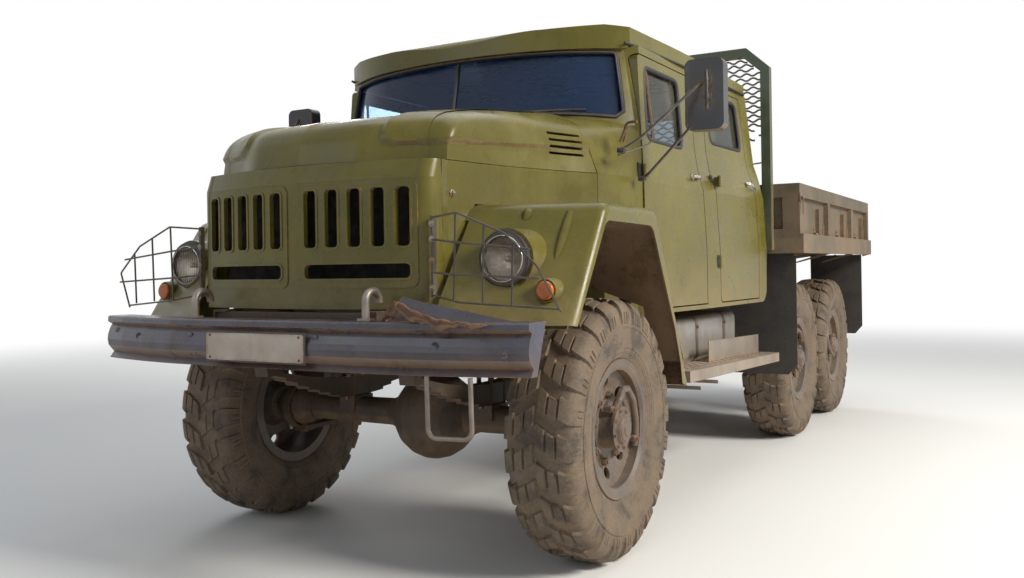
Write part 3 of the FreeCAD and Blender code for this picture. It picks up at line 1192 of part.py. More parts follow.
# cranked arms from the frame's side out under the board
ARM = [(S["frame_half"] + 2, 892), (S["frame_half"] + 2, 930), (480, 930), (560, 640), (1096, 640),
       (1096, 622),
       (540, 622), (470, 892)]
for y in ARM_STATIONS:
    board = board.fuse(prism(ARM, "y", y, y + ARM_SHEET))
node(solid(both(board), "boards"), "running_boards")
FLAPS = [
    # along, inner x, outer x, bottom, top
    (2700, 720, 1172, 512, 1324),
    (5180, 740, 1180, 620, 1324),
]
FLAP_SHEET = 8
flaps = []
for y, x_in, x_out, low, high in FLAPS:
    outline = [(x_in, high), (x_in, low), (x_out - 60, low), (x_out, low + 70), (x_out, high)]
    flaps.append(prism(outline, "y", y, y + FLAP_SHEET))
node(solid(Part.makeCompound([both(flap) for flap in flaps]), "flaps"), "mud_flaps")

# ---------------------------------------------------------------- bed
FLOOR_EDGE = S["bed_wall_outer"] - S["bed_wall"]
floor_end = S["bed_rear"] - 50 - S["joint_gap"]
floor_sheet = Part.makeBox(2 * FLOOR_EDGE - 2, floor_end - S["bed_front"] - S["bed_wall"] - 1,
                           S["bed_floor_sheet"],
                           Vector(-FLOOR_EDGE + 1, S["bed_front"] + S["bed_wall"] + 1,
                                  S["bed_floor_top"] - S["bed_floor_sheet"]))
BED_BEAMS = [2742, 3200, 3569, 4060, 4518, 4900, 5240]
beam_low = S["bed_rail_bottom"] - 40
floor_shape = floor_sheet
BEAM_HALF = 30
sheet_low = S["bed_floor_top"] - S["bed_floor_sheet"]
beam_side = [(FLOOR_EDGE - 4, sheet_low), (FLOOR_EDGE - 4, sheet_low - 34),
             (S["frame_half"] + 60, beam_low)]
BEAM = beam_side + [(-x, z) for x, z in reversed(beam_side)]
for y in BED_BEAMS:
    floor_shape = floor_shape.fuse(prism(BEAM, "y", y - BEAM_HALF, y + BEAM_HALF))
sill_low = S["rail_bottom"] + S["rail_depth"] + S["slip"]
for x in (-S["frame_half"], S["frame_half"] - S["rail_flange"]):
    floor_shape = floor_shape.fuse(Part.makeBox(S["rail_flange"], floor_end - 60 - 2680,
                                                beam_low + 30 - sill_low,
                                                Vector(x, 2680, sill_low)))
node(solid(floor_shape.removeSplitter(), "floor"), "bed_floor")

wall_low = S["bed_rail_bottom"]
wall_end = S["bed_rear"] - 50 - S["tailgate_gap"]
RAIL_TOP = 1452
side_wall = Part.makeBox(S["bed_wall"], wall_end - S["bed_front"], S["bed_top"] - wall_low - 60,
                         Vector(FLOOR_EDGE, S["bed_front"], wall_low + 60))
side_rail = Part.makeBox(S["bed_rail_outer"] - FLOOR_EDGE, wall_end - S["bed_front"], RAIL_TOP - wall_low,
                         Vector(FLOOR_EDGE, S["bed_front"], wall_low))
side_wall = side_wall.fuse(side_rail)
# bays between the posts, sunk into the outer face
BAYS = [(2688, 3532), (3606, 4472), (4565, wall_end - 66)]
BAY_DEPTH = 34
BAY_TOP = 1696
STIFFENER = 5
for start, end in BAYS:
    side_wall = side_wall.cut(Part.makeBox(BAY_DEPTH, end - start, BAY_TOP - RAIL_TOP,
                                           Vector(S["bed_wall_outer"] - BAY_DEPTH, start, RAIL_TOP)))
    rib_along = end - 0.34 * (end - start)
    rib = Part.makeBox(BAY_DEPTH - 6, STIFFENER, BAY_TOP - RAIL_TOP - 54,
                       Vector(S["bed_wall_outer"] - BAY_DEPTH - 1, rib_along, RAIL_TOP - 1))
    gusset = prism([(end + 1, RAIL_TOP - 1), (end - 62, RAIL_TOP - 1), (end - 30, RAIL_TOP + 84),
                    (end + 1, RAIL_TOP + 84)],
                   "x", S["bed_wall_outer"] - BAY_DEPTH - 1, S["bed_wall_outer"] - BAY_DEPTH + 5)
    side_wall = side_wall.fuse(rib).fuse(gusset)
for y in (S["bed_front"] + 30, 3569, 4518, wall_end - 34):
    brace = prism([(S["bed_rail_outer"] - 4, wall_low + 1), (FLOOR_EDGE, wall_low + 1),
                   (FLOOR_EDGE - 210, wall_low - 62),
                   (FLOOR_EDGE - 190, wall_low - 66)], "y", y - 4, y + 4)
    if y > 5000 or y < 2700:
        brace = brace.common(Part.makeBox(600, 4000, 400, Vector(FLOOR_EDGE + 1, 2000, 1000)))
    side_wall = side_wall.fuse(brace)
board = Part.makeBox(2 * FLOOR_EDGE, S["bed_wall"], S["bed_top"] - wall_low,
                     Vector(-FLOOR_EDGE, S["bed_front"], wall_low))
for low_x, high_x in ((-1110, -400), (-330, 330), (400, 1110)):
    board = board.cut(Part.makeBox(high_x - low_x, 30, 210, Vector(low_x, S["bed_front"], 1486)))
walls = board.fuse(side_wall).fuse(flip(side_wall)).removeSplitter()
node(solid(walls, "walls"), "bed_walls")

gate_low = S["bed_floor_top"] + S["joint_gap"]
gate = Part.makeBox(2 * FLOOR_EDGE - 2 * S["joint_gap"], 50, S["bed_top"] - gate_low,
                    Vector(-FLOOR_EDGE + S["joint_gap"], S["bed_rear"] - 50, gate_low))
for low_x, high_x in ((-1090, -420), (-340, 340), (420, 1090)):
    gate = gate.cut(Part.makeBox(high_x - low_x, 22, 210, Vector(low_x, S["bed_rear"] - 22, gate_low + 60)))
GATE_HINGES = (-900, -300, 300, 900)
hinge_low = gate_low + S["hinge_radius"]
for x in GATE_HINGES:
    gate = gate.fuse(Part.makeCylinder(S["hinge_radius"], 90, Vector(x - 45, S["bed_rear"] - 2, hinge_low),
                                       AXES["x"]))
node(solid(gate, "gate"), "tailgate")

rack_edge = [
    ("rack_half", "bed_floor_top - 92"), ("rack_half", "rack_corner"), ("rack_top_half", "rack_top"),
    ("-rack_top_half", "rack_top"), ("-rack_half", "rack_corner"), ("-rack_half", "bed_floor_top - 92"),
    ("-rack_half + rack_tube", "bed_floor_top - 92"), ("-rack_half + rack_tube",
                                                       "rack_corner - rack_tube * 0.4"),
    ("-rack_top_half + rack_tube * 0.4", "rack_top - rack_tube"),
    ("rack_top_half - rack_tube * 0.4", "rack_top - rack_tube"),
    ("rack_half - rack_tube", "rack_corner - rack_tube * 0.4"), ("rack_half - rack_tube",
                                                                 "bed_floor_top - 92"),
]
rack = padded("xz", rack_edge, "rack_tube", "rack", middle=False, offset="-bed_front + slip")
node(rack, "headboard_rack")
tail = Part.makeCylinder(46, 40, Vector(940, S["frame_rear"] - 30, 1240), AXES["y"])
node(solid(both(tail), "tail"), "tail_lamps")

# ---------------------------------------------------------------- check and write
doc.recompute()
for obj in doc.Objects:
    if "Invalid" in obj.State or "Error" in obj.State:
        raise RuntimeError(f"{obj.Name} ({obj.Label}) did not compute: {obj.State}")
os.makedirs("parts", exist_ok=True)
for obj in NODES:
    shape = obj.Shape
    if shape.isNull() or not shape.isValid() or not shape.Solids:
        raise RuntimeError(f"{obj.Label} is not a sound solid")
    shape.exportStep(os.path.join("parts", obj.Label + ".step"))
print(len(NODES), "nodes written")
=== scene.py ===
import bpy
import bmesh
import math
import random
from contextlib import contextmanager
from mathutils import Matrix, Vector
from mathutils.bvhtree import BVHTree


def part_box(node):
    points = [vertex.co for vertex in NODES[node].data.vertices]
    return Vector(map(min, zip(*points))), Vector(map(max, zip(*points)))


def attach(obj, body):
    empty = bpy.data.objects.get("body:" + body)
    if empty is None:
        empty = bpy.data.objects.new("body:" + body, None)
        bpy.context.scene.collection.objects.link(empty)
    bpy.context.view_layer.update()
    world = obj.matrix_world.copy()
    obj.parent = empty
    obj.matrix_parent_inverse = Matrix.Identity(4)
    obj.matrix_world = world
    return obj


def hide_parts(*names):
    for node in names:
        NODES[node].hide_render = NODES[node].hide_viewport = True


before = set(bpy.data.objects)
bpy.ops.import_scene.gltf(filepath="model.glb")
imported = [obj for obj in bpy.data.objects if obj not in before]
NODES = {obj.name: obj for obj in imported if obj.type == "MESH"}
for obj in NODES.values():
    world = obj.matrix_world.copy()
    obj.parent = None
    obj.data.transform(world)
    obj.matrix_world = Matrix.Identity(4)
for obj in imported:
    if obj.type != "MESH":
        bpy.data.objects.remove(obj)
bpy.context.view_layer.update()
SIDES = (("left", 1), ("right", -1))
AXLES = ("front", "middle", "rear")
X, Y, Z = Vector((1, 0, 0)), Vector((0, 1, 0)), Vector((0, 0, 1))
FRONT_AXLE = (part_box("tyre_front_left")[0].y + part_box("tyre_front_left")[1].y) / 2


def at(x, y, z):
    """A point in metres; y is measured rearwards from the front axle, all in millimetres."""
    return Vector((x / 1000, FRONT_AXLE + y / 1000, z / 1000))


def placed(name, data):
    """A new object in the scene."""
    made = bpy.data.objects.new(name, data)
    bpy.context.scene.collection.objects.link(made)
    return made


def applied(made):
    """The mesh that an object's modifiers give."""
    return bpy.data.meshes.new_from_object(
        made.evaluated_get(bpy.context.evaluated_depsgraph_get()))


# ---------------------------------------------------------------- camera and lights
CAMERA_AT, YAW, ROLL = (2.64, -5.948, 1.26), math.radians(30.2), math.radians(-0.9)
camera = placed("camera", bpy.data.cameras.new("camera"))
bpy.context.scene.camera = camera
camera.data.sensor_width = 36
camera.data.lens = 33.4
camera.data.shift_x = 0.014
camera.data.shift_y = -0.021
camera.data.clip_end = 200
camera.matrix_world = (Matrix.Translation(CAMERA_AT) @ Matrix.Rotation(YAW, 4, "Z")
                       @ Matrix.Rotation(math.pi / 2, 4, "X") @ Matrix.Rotation(ROLL, 4, "Z"))
bpy.context.scene.view_settings.view_transform = "Standard"

# name, place, aim, size, watts, colour
LIGHTS = (
    ("key_light", (9.5, -1.5, 6.5), (0.4, -0.6, 1.1), (3.4, 3.4), 1300, (1, 0.95, 0.86)),
    ("front_light", (-3.0, -10.0, 4.5), (0, -1.5, 1.3), (6, 4), 90, (0.86, 0.93, 1)),
    ("top_light", (0.5, 1.5, 9.0), (0, 0, 0), (8, 8), 260, (1, 1, 1)),
    ("rear_light", (-7.0, 8.0, 5.0), (0, 0, 1.2), (5, 4), 330, (1, 1, 1)),
)
for name, place, aim, size, watts, colour in LIGHTS:
    lamp = placed(name, bpy.data.lights.new(name, "AREA"))
    lamp.data.shape = "RECTANGLE"
    lamp.data.size, lamp.data.size_y = size
    lamp.data.energy = watts
    lamp.data.color = colour
    lamp.location = place
    lamp.rotation_euler = (Vector(aim) - Vector(place)).to_track_quat("-Z", "Y").to_euler()


# ---------------------------------------------------------------- shader nodes
class Nodes:
    """A short way to write shader nodes: each call makes one node and links what it is given."""

    def __init__(self, tree):
        self.tree = tree
        tree.nodes.clear()

    def __call__(self, kind, inputs=(), out=0, **settings):
        made = self.tree.nodes.new("ShaderNode" + kind)
        for key, value in settings.items():
            setattr(made, key, value)
        for key, value in dict(inputs).items():
            socket = made.inputs[key]
            if isinstance(value, bpy.types.NodeSocket):
                self.tree.links.new(value, socket)
            else:
                socket.default_value = value
        return made.outputs[out] if len(made.outputs) else made

    def math(self, operation, first, second=0.0, third=0.0, clamp=False):
        return self("Math", {0: first, 1: second, 2: third}, operation=operation, use_clamp=clamp)

    def times(self, first, second, clamp=False):
        return self.math("MULTIPLY", first, second, clamp=clamp)

    def most(self, first, second, clamp=False):
        return self.math("MAXIMUM", first, second, clamp=clamp)

    def ramp(self, value, low, high, start=0.0, end=1.0):
        """A smooth step from start to end while the value goes from low to high."""
        return self("MapRange", {0: value, 1: low, 2: high, 3: start, 4: end},
                    interpolation_type="SMOOTHSTEP", clamp=True)

    def mix(self, share, first, second):
        """A blend of two colours, each a socket or three numbers."""
        colours = [value if isinstance(value, bpy.types.NodeSocket) else (*value[:3], 1)
                   for value in (first, second)]
        return self("Mix", {0: share, 6: colours[0], 7: colours[1]}, out=2, data_type="RGBA",
                    clamp_factor=True)

    def noise(self, scale, detail=3.0, rough=0.55, stretch=(1, 1, 1), offset=0.0):
        place = self("Mapping", {0: self("TexCoord", out=3), 1: (offset, offset * 0.7, -offset),
                                 3: stretch})
        return self("TexNoise", {"Vector": place, "Scale": scale, "Detail": detail,
                                 "Roughness": rough})

    def axes(self, vector):
        """The three components of a vector."""
        return [self("SeparateXYZ", {0: vector}, out=k) for k in range(3)]

    def bump(self, height, strength, distance, **more):
        return self("Bump", {"Strength": strength, "Distance": distance, "Height": height, **more})

    def principled(self, **inputs):
        """One Principled shader; an underscore in a name stands for a space."""
        return self("BsdfPrincipled", {key.replace("_", " "): v for key, v in inputs.items()})

    def surface(self, **inputs):
        """The material's surface as one Principled shader."""
        self("OutputMaterial", {0: self.principled(**inputs)})


def material(name):
    made = bpy.data.materials.new(name)
    made.use_nodes = True
    return made, Nodes(made.node_tree)


# ---------------------------------------------------------------- world and floor
world = bpy.data.worlds.new("studio")
bpy.context.scene.world = world
world.use_nodes = True
n = Nodes(world.node_tree)
path = n.tree.nodes.new("ShaderNodeLightPath")
seen = n.most(n.most(path.outputs["Is Camera Ray"], path.outputs["Is Glossy Ray"]),
              path.outputs["Is Transmission Ray"])
sky = n("Background", {0: (0.82, 0.91, 1, 1), 1: 0.19})
white = n("Background", {0: (1, 1, 1, 1), 1: 1.0})
n("OutputWorld", {0: n("MixShader", {0: seen, 1: sky, 2: white})})

bpy.ops.mesh.primitive_circle_add(vertices=96, radius=30, fill_type="NGON",
                                  location=(0, 0, -0.0005))
floor = bpy.context.object
floor.name = "floor"
floor_material, n = material("pale_floor")
far = n("VectorMath", {0: n("TexCoord", out=3)}, out=1, operation="LENGTH")
plain = n.principled(Base_Color=(0.86, 0.86, 0.85, 1), Roughness=0.85)
bright = n("Emission", {0: (1, 1, 1, 1), 1: 1.0})
n("OutputMaterial", {0: n("MixShader", {0: n.ramp(far, 6.0, 15.0), 1: plain, 2: bright})})
floor.data.materials.append(floor_material)

# ---------------------------------------------------------------- materials
DUST = (0.36, 0.27, 0.17)
MUD = (0.23, 0.15, 0.09)
# the inside of a wheel arch, darker than the paint: mud-brown, and painted shade under the wing
ARCH_MUD_AND_SHADE = (0.05, 0.026, 0.015), (0.12, 0.062, 0.034)
# where a wheel arch's darker inside, mud and painted shade, fades in, in metres: inside its flank,
# behind its nose, at its back
ARCH_FLANK, ARCH_NOSE, ARCH_BACK = (0.88, 0.9), (-2.72, -2.7), (-1.97, -1.95)


def edges(n):
    """1 along convex and concave edges, 0 on flats."""
    rounded = n("Bevel", {0: 0.006}, samples=4)
    turn = n("VectorMath", {0: rounded, 1: n("NewGeometry", out=1)}, out=1,
             operation="DOT_PRODUCT")
    return n.ramp(n.math("SUBTRACT", 1.0, turn), 0.02, 0.16)


def cavity(n, distance):
    """1 in corners and recesses."""
    open_share = n("AmbientOcclusion", {"Distance": distance}, out=1, samples=4)
    return n.ramp(open_share, 0.35, 0.95, 1.0, 0.0)


def painted(name, base, second, coat, rough, chips=0.45, rust=(0.17, 0.06, 0.022), metallic=0.0,
            dents=0.12, streaks=0.4, spots=0.55, gloss=0.4, arch=False, nook=1.0):
    """Weathered paint: two tones, run marks, dust, mud below, chipped and rusty edges.

    The coat of dust is its colour, the two heights between which it fades out, and how much
    of it lies low down and on tops.
    """
    dust, fade_low, fade_high, most, top = coat
    made, n = material(name)
    side, along, height = n.axes(n("TexCoord", out=3))
    rearward, up = n.axes(n("NewGeometry", out=1))[1:]
    broad = n.noise(1.4, 4, 0.6)
    cloudy = n.noise(7.0, 5, 0.65, offset=3.1)
    fine = n.noise(60.0, 4, 0.7, offset=1.7)
    runs = n.noise(11.0, 4, 0.6, stretch=(1, 1, 0.09), offset=5.3)
    tone = n.ramp(n.math("ADD", n.times(broad, 0.6), n.times(cloudy, 0.4)), 0.38, 0.62)
    colour = n.mix(tone, base, second)
    colour = n.mix(n.times(n.ramp(runs, 0.53, 0.72), streaks), colour,
                   [c * 0.45 + d * 0.28 for c, d in zip(base, dust)])
    low_dust = n.times(n.ramp(height, fade_low, fade_high, 1.0, 0.0),
                       n.ramp(cloudy, 0.3, 0.62, 0.35, 1.0))
    top_dust = n.times(n.ramp(up, 0.55, 0.98), n.times(n.ramp(cloudy, 0.35, 0.65), top))
    nook_dust = n.times(cavity(n, 0.12), n.ramp(fine, 0.3, 0.6, 0.3 * nook, 0.75 * nook))
    dirt = n.most(n.times(low_dust, most), n.most(top_dust, nook_dust), clamp=True)
    dirt = n.times(dirt, n.ramp(fine, 0.25, 0.6, 0.55, 1.0))
    colour = n.mix(dirt, colour, dust)
    # inside a wheel arch: darker mud-brown, partly mud and partly painted shade under the wing
    if arch:
        liner = n.times(n.ramp(n.math("ABSOLUTE", side), *ARCH_FLANK, 1.0, 0.0),
                        n.ramp(along, *ARCH_NOSE))
        liner = n.times(liner, n.ramp(up, 0.2, 0.4, 1.0, 0.0))
        back = n.times(n.ramp(along, *ARCH_BACK), n.ramp(rearward, -0.4, -0.2, 1.0, 0.0))
        inside = n.times(n.most(liner, back), n.ramp(cloudy, 0.3, 0.6, 0.7, 1.0), clamp=True)
        colour = n.mix(inside, colour, n.mix(n.ramp(fine, 0.35, 0.65), *ARCH_MUD_AND_SHADE))
    under = n.times(n.ramp(up, -0.5, -0.1, 0.7, 0.0), n.ramp(cloudy, 0.3, 0.55, 0.3, 1.0))
    colour = n.mix(under, colour, MUD)
    patchy = n.math("ADD", n.times(cloudy, 0.5), n.times(fine, 0.5))
    chip = n.times(edges(n), n.ramp(patchy, 0.62 - 0.22 * chips, 0.68 - 0.22 * chips))
    speck = n.times(n.ramp(n.noise(38.0, 3, 0.5, offset=9.2), 0.735, 0.76),
                    n.ramp(broad, 0.45, 0.6, 0.0, spots))
    bare = n.most(chip, speck)
    colour = n.mix(bare, colour,
                   n.mix(n.ramp(fine, 0.4, 0.6), rust, [c * 1.9 + 0.03 for c in rust]))
    smooth = n.ramp(cloudy, 0.3, 0.7, rough - 0.05, rough + 0.1)
    roughness = n.most(n.math("MULTIPLY_ADD", dirt, 0.4, smooth), n.times(bare, 0.8), clamp=True)
    grain = n.bump(n.noise(320.0, 3, 0.6), 0.14, 0.0009)
    dent = n.bump(n.noise(2.6, 2, 0.4, offset=2.2), dents, 0.03, Normal=grain)
    flake = n.bump(n.math("SUBTRACT", 1.0, bare), 0.6, 0.0012, Normal=dent)
    n.surface(Base_Color=colour, Roughness=roughness, Metallic=metallic, Specular_IOR_Level=gloss,
              Normal=flake)
    return made


def rubber(name, base, dust, share, rough=0.75):
    """Rubber with dust that lies in its low places and on its flanks."""
    made, n = material(name)
    cloudy = n.noise(9.0, 5, 0.65)
    fine = n.noise(90.0, 4, 0.7, offset=4.0)
    film = n.times(n.ramp(cloudy, 0.3, 0.65), share)
    mask = n.math("MULTIPLY_ADD", cavity(n, 0.03), 0.55, film, clamp=True)
    mask = n.times(mask, n.ramp(fine, 0.25, 0.6, 0.6, 1.0))
    tone = n.mix(n.ramp(fine, 0.3, 0.7), base, [c * 1.7 for c in base])
    grime = n.mix(n.ramp(cloudy, 0.4, 0.6), dust, [c * 0.72 for c in dust])
    bump = n.bump(n.math("ADD", fine, n.times(cloudy, 0.6)), 0.35, 0.0015)
    n.surface(Base_Color=n.mix(mask, tone, grime), Roughness=rough, Normal=bump)
    return made


def glass(name, tint, dust_and_reflection_share=0.12, rough=0.03, film_dust_and_reflection=(0.42, 0.38, 0.3), least=None, flutes=0.0):
    """Window glass with a thin film of dust, fluted if it is a lens; the windscreen's dark blue
    film is a painted reflection of the sky.
    """
    made, n = material(name)
    cloudy = n.noise(3.2, 5, 0.6, stretch=(1, 1, 0.6))
    film = n.ramp(cloudy, 0.42, 0.75, dust_and_reflection_share * 0.35 if least is None else least, dust_and_reflection_share)
    bands = n("TexWave", {"Vector": n("TexCoord", out=3), "Scale": 26.0, "Distortion": 0.0},
              wave_type="BANDS", bands_direction="X")
    clear = n.principled(Base_Color=(*tint, 1), Roughness=rough, Transmission_Weight=1.0, IOR=1.12,
                         Normal=n.bump(bands, flutes, 0.002))
    # the film: dust on the windows, and on the windscreen a dark blue painted reflection of the
    # sky
    dull = n.principled(Base_Color=(*film_dust_and_reflection, 1), Roughness=0.8 if least is None else 0.25)
    n("OutputMaterial", {0: n("MixShader", {0: film, 1: clear, 2: dull})})
    return made


def lens_plastic(name, base):
    """Coloured plastic of a lamp, with fine flutes."""
    made, n = material(name)
    colour = n.mix(n.ramp(n.noise(24.0, 4, 0.6), 0.4, 0.7), base, [c * 0.6 + 0.02 for c in base])
    bands = n("TexWave", {"Scale": 60.0, "Distortion": 0.0}, wave_type="BANDS",
              bands_direction="X")
    n.surface(Base_Color=colour, Roughness=0.22, Transmission_Weight=0.25,
              Normal=n.bump(bands, 0.3, 0.001))
    return made


OLIVE_PAINT = dict(base=(0.094, 0.082, 0.01), second=(0.13, 0.111, 0.016),
                   coat=(DUST, 0.95, 1.4, 0.4, 0.07), rough=0.27, chips=0.4, gloss=0.3,
                   streaks=0.22, nook=0.25)
OLIVE = painted("olive_paint", **OLIVE_PAINT)
# the wings' paint, darker and browner inside the arches: mud and painted shade
WING = painted("wing_paint", **OLIVE_PAINT, arch=True)
BUMPER = painted("bumper_paint", (0.016, 0.019, 0.036), (0.06, 0.064, 0.098),
                 ((0.15, 0.085, 0.05), 0.86, 1.03, 0.4, 0.4), 0.24, gloss=0.6, chips=1.0,
                 rust=(0.13, 0.055, 0.025), dents=0.3, streaks=0.75, spots=1.0)
# near-black chassis paint: dark paint, made darker still as painted shade under the truck
CHASSIS_PAINT_AND_SHADE = painted("chassis_paint_and_shade", (0.026, 0.021, 0.018), (0.055, 0.042, 0.032),
                  (MUD, 0.3, 1.5, 0.36, 0.5), 0.55, chips=0.5)
IRON = painted("worn_iron", (0.25, 0.23, 0.21), (0.13, 0.1, 0.08), (MUD, 0.3, 1.2, 0.3, 0.35),
               0.42, metallic=0.65, chips=0.7)
CAST = painted("oily_casting", (0.05, 0.042, 0.035), (0.11, 0.085, 0.06),
               (MUD, 0.2, 1.3, 0.6, 0.5), 0.45)
RIM = painted("rim_paint", (0.055, 0.05, 0.048), (0.12, 0.105, 0.09),
              ((0.33, 0.24, 0.17), 2.0, 3.0, 0.22, 0.4), 0.36, chips=0.8)
BED = painted("bed_paint", (0.07, 0.06, 0.038), (0.15, 0.108, 0.07),
              ((0.3, 0.215, 0.14), 1.2, 1.9, 0.42, 0.7), 0.6, chips=1.0, spots=1.0, streaks=0.7,
              nook=0.6)
RACK = painted("rack_paint", (0.04, 0.055, 0.03), (0.075, 0.09, 0.05),
               (DUST, 1.2, 2.0, 0.3, 0.35), 0.4, chips=0.6)
STEP = painted("step_steel", (0.2, 0.18, 0.16), (0.33, 0.29, 0.25), (DUST, 0.5, 1.2, 0.5, 0.6),
               0.45, metallic=0.4, chips=1.0, spots=1.0)
DASH = painted("dash_paint", (0.1, 0.105, 0.055), (0.13, 0.13, 0.07),
               (DUST, 1.0, 1.4, 0.4, 0.35), 0.4)
TRIM = painted("black_trim", (0.014, 0.014, 0.017), (0.03, 0.03, 0.034),
               (DUST, 1.2, 1.8, 0.1, 0.12), 0.3, chips=0.2, rust=(0.08, 0.07, 0.06), spots=0.2)
SILVER = painted("bright_metal", (0.6, 0.59, 0.56), (0.42, 0.4, 0.37),
                 (DUST, 0.6, 1.2, 0.4, 0.2), 0.22, metallic=0.95, chips=0.3)
MIRROR = painted("mirror_silver", (0.78, 0.8, 0.82), (0.68, 0.7, 0.72),
                 (DUST, 0.0, 0.1, 0.0, 0.0), 0.1, metallic=1.0, chips=0.0, spots=0.1,
                 streaks=0.1, dents=0.0)
TANK = painted("tank_paint", (0.3, 0.3, 0.305), (0.2, 0.195, 0.19), (DUST, 0.6, 1.1, 0.5, 0.5),
               0.36, metallic=0.2, chips=0.6)
PLATE = painted("blank_plate", (0.52, 0.46, 0.4), (0.42, 0.35, 0.29),
                ((0.3, 0.2, 0.13), 0.85, 1.1, 0.4, 0.35), 0.4, chips=0.7, spots=0.8)
RUST = painted("rusty_iron", (0.08, 0.038, 0.024), (0.15, 0.072, 0.04),
               (DUST, 0.6, 1.2, 0.3, 0.35), 0.75, chips=0.9, rust=(0.2, 0.08, 0.03), spots=1.0)
TYRE = rubber("dusty_rubber", (0.045, 0.035, 0.028), (0.3, 0.215, 0.14), 0.75)
FLAP = rubber("flap_rubber", (0.018, 0.017, 0.017), (0.14, 0.11, 0.08), 0.25, rough=0.6)
SEAL = rubber("seal_rubber", (0.008, 0.008, 0.009), (0.06, 0.05, 0.04), 0.1, rough=0.6)
GLASS = glass("window_glass", (0.72, 0.84, 0.86))
# the windscreen's strong blue tint and dark blue film are a painted reflection of the sky
SCREEN = glass("windscreen_glass", (0.4, 0.52, 0.7), 0.46, 0.02, (0.012, 0.04, 0.115), 0.36)
LENS = glass("lamp_glass", (0.95, 0.96, 0.97), 0.16, 0.05, flutes=0.9)
AMBER = lens_plastic("amber_lens", (0.72, 0.17, 0.012))
RED = lens_plastic("red_lens", (0.45, 0.02, 0.012))

FINS, n = material("radiator_fins")
bands = n("TexWave", {"Scale": 95.0, "Distortion": 0.0}, wave_type="BANDS", bands_direction="Z")
colour = n.mix(n.ramp(n.noise(20.0), 0.4, 0.7), (0.012, 0.012, 0.012), (0.05, 0.042, 0.034))
n.surface(Base_Color=colour, Roughness=0.5, Metallic=0.5, Normal=n.bump(bands, 0.8, 0.003))

SKIN, n = material("seat_skin")
creases = n("TexVoronoi", {"Vector": n("TexCoord", out=3), "Scale": 220.0},
            feature="DISTANCE_TO_EDGE")
colour = n.mix(n.ramp(n.noise(5.0, 4), 0.35, 0.7), (0.075, 0.05, 0.033), (0.13, 0.1, 0.075))
n.surface(Base_Color=colour, Roughness=0.5,
          Normal=n.bump(n.ramp(creases, 0.0, 0.12), 0.25, 0.0012))

# the finishes of the CAD nodes, by the start of their names; the others are olive
FINISHES = {
    TYRE: "tyre_", RIM: "wheel_", BUMPER: "bumper", IRON: "bumper_step tow_hooks",
    CHASSIS_PAINT_AND_SHADE: "frame front_axle rear_axles knuckle_ leaf_springs exhaust",
    CAST: "driveline engine_block", FINS: "radiator", TANK: "fuel_tank", SCREEN: "cab_glass",
    GLASS: "front_door_glass rear_door_glass", LENS: "headlamp_lenses", AMBER: "indicators",
    SKIN: "seats", DASH: "seat_frames dashboard", TRIM: "steering_wheel mirrors lamp_guards",
    STEP: "running_boards", FLAP: "mud_flaps", RACK: "headboard_rack", WING: "fenders",
    BED: "bed_floor bed_walls tailgate", RED: "tail_lamps", SILVER: "headlamps",
}
FINISH_OF = {start: finish for finish, starts in FINISHES.items() for start in starts.split()}
for name, cad in NODES.items():
    best = max((start for start in FINISH_OF if name.startswith(start)), key=len, default=None)
    cad.data.materials.clear()
    cad.data.materials.append(FINISH_OF.get(best, OLIVE))


def piece(name, data, finish, body="chassis", sharp=40, moved=None):
    """One named object that rides on a body, with its finish."""
    if moved is not None:
        data = data.copy()
        data.transform(moved)
    made = placed(name, data)
    if not len(data.materials):
        data.materials.append(finish)
    if isinstance(data, bpy.types.Mesh) and sharp:
        data.shade_smooth()
        data.set_sharp_from_angle(angle=math.radians(sharp))
    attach(made, body)
    return made


def mesh_of(name, bm, weld=1e-6):
    bmesh.ops.remove_doubles(bm, verts=bm.verts, dist=weld)
    bmesh.ops.recalc_face_normals(bm, faces=bm.faces)
    data = bpy.data.meshes.new(name)
    bm.to_mesh(data)
    bm.free()
    return data


@contextmanager
def shape(name, finish, body="chassis", sharp=40):
    """A mesh to fill inside a with block; it becomes a piece at the block's end."""
    bm = bmesh.new()
    yield bm
    piece(name, mesh_of(name, bm), finish, body, sharp)


def turns(count):
    """The angles of a full turn in equal steps."""
    return [2 * math.pi * k / count for k in range(count)]


def around(x, radius, turn):
    """A point at a radius about the X axis."""
    return Vector((x, radius * math.cos(turn), radius * math.sin(turn)))


def polar(x, radius, degrees):
    return around(x, radius, math.radians(degrees))


def join(bm, lines, closed=False):
    """Faces between successive lines of vertices, which are open or closed."""
    for one, two in zip(lines, lines[1:]):
        for i in range(len(one) - (not closed)):
            j = (i + 1) % len(one)
            bm.faces.new((one[i], one[j], two[j], two[i]))


def sheet(bm, rows, closed=False):
    """Faces between successive rows of points."""
    lines = [[bm.verts.new(point) for point in row] for row in rows]
    join(bm, lines, closed)
    return lines


def strip(bm, rows, cap=True):
    """A solid run of closed rows of points, capped at both ends."""
    lines = sheet(bm, rows, True)
    if cap:
        bm.faces.new(lines[0])
        bm.faces.new(lines[-1])


def slab(bm, rings, sign=1, cap=True):
    """A run through upright outlines, each given with its y in mm."""
    strip(bm, [[at(sign * p.x, y, p.y) for p in outline] for y, outline in rings], cap)


def lathe(bm, section, frame_at=Matrix(), steps=32, closed=False):
    """Turns a section of (distance along the axis, radius) about the local X axis."""
    rings = [[bm.verts.new(frame_at @ around(x, radius, turn)) for x, radius in section]
             for turn in turns(steps)]
    join(bm, rings + rings[:1], closed)


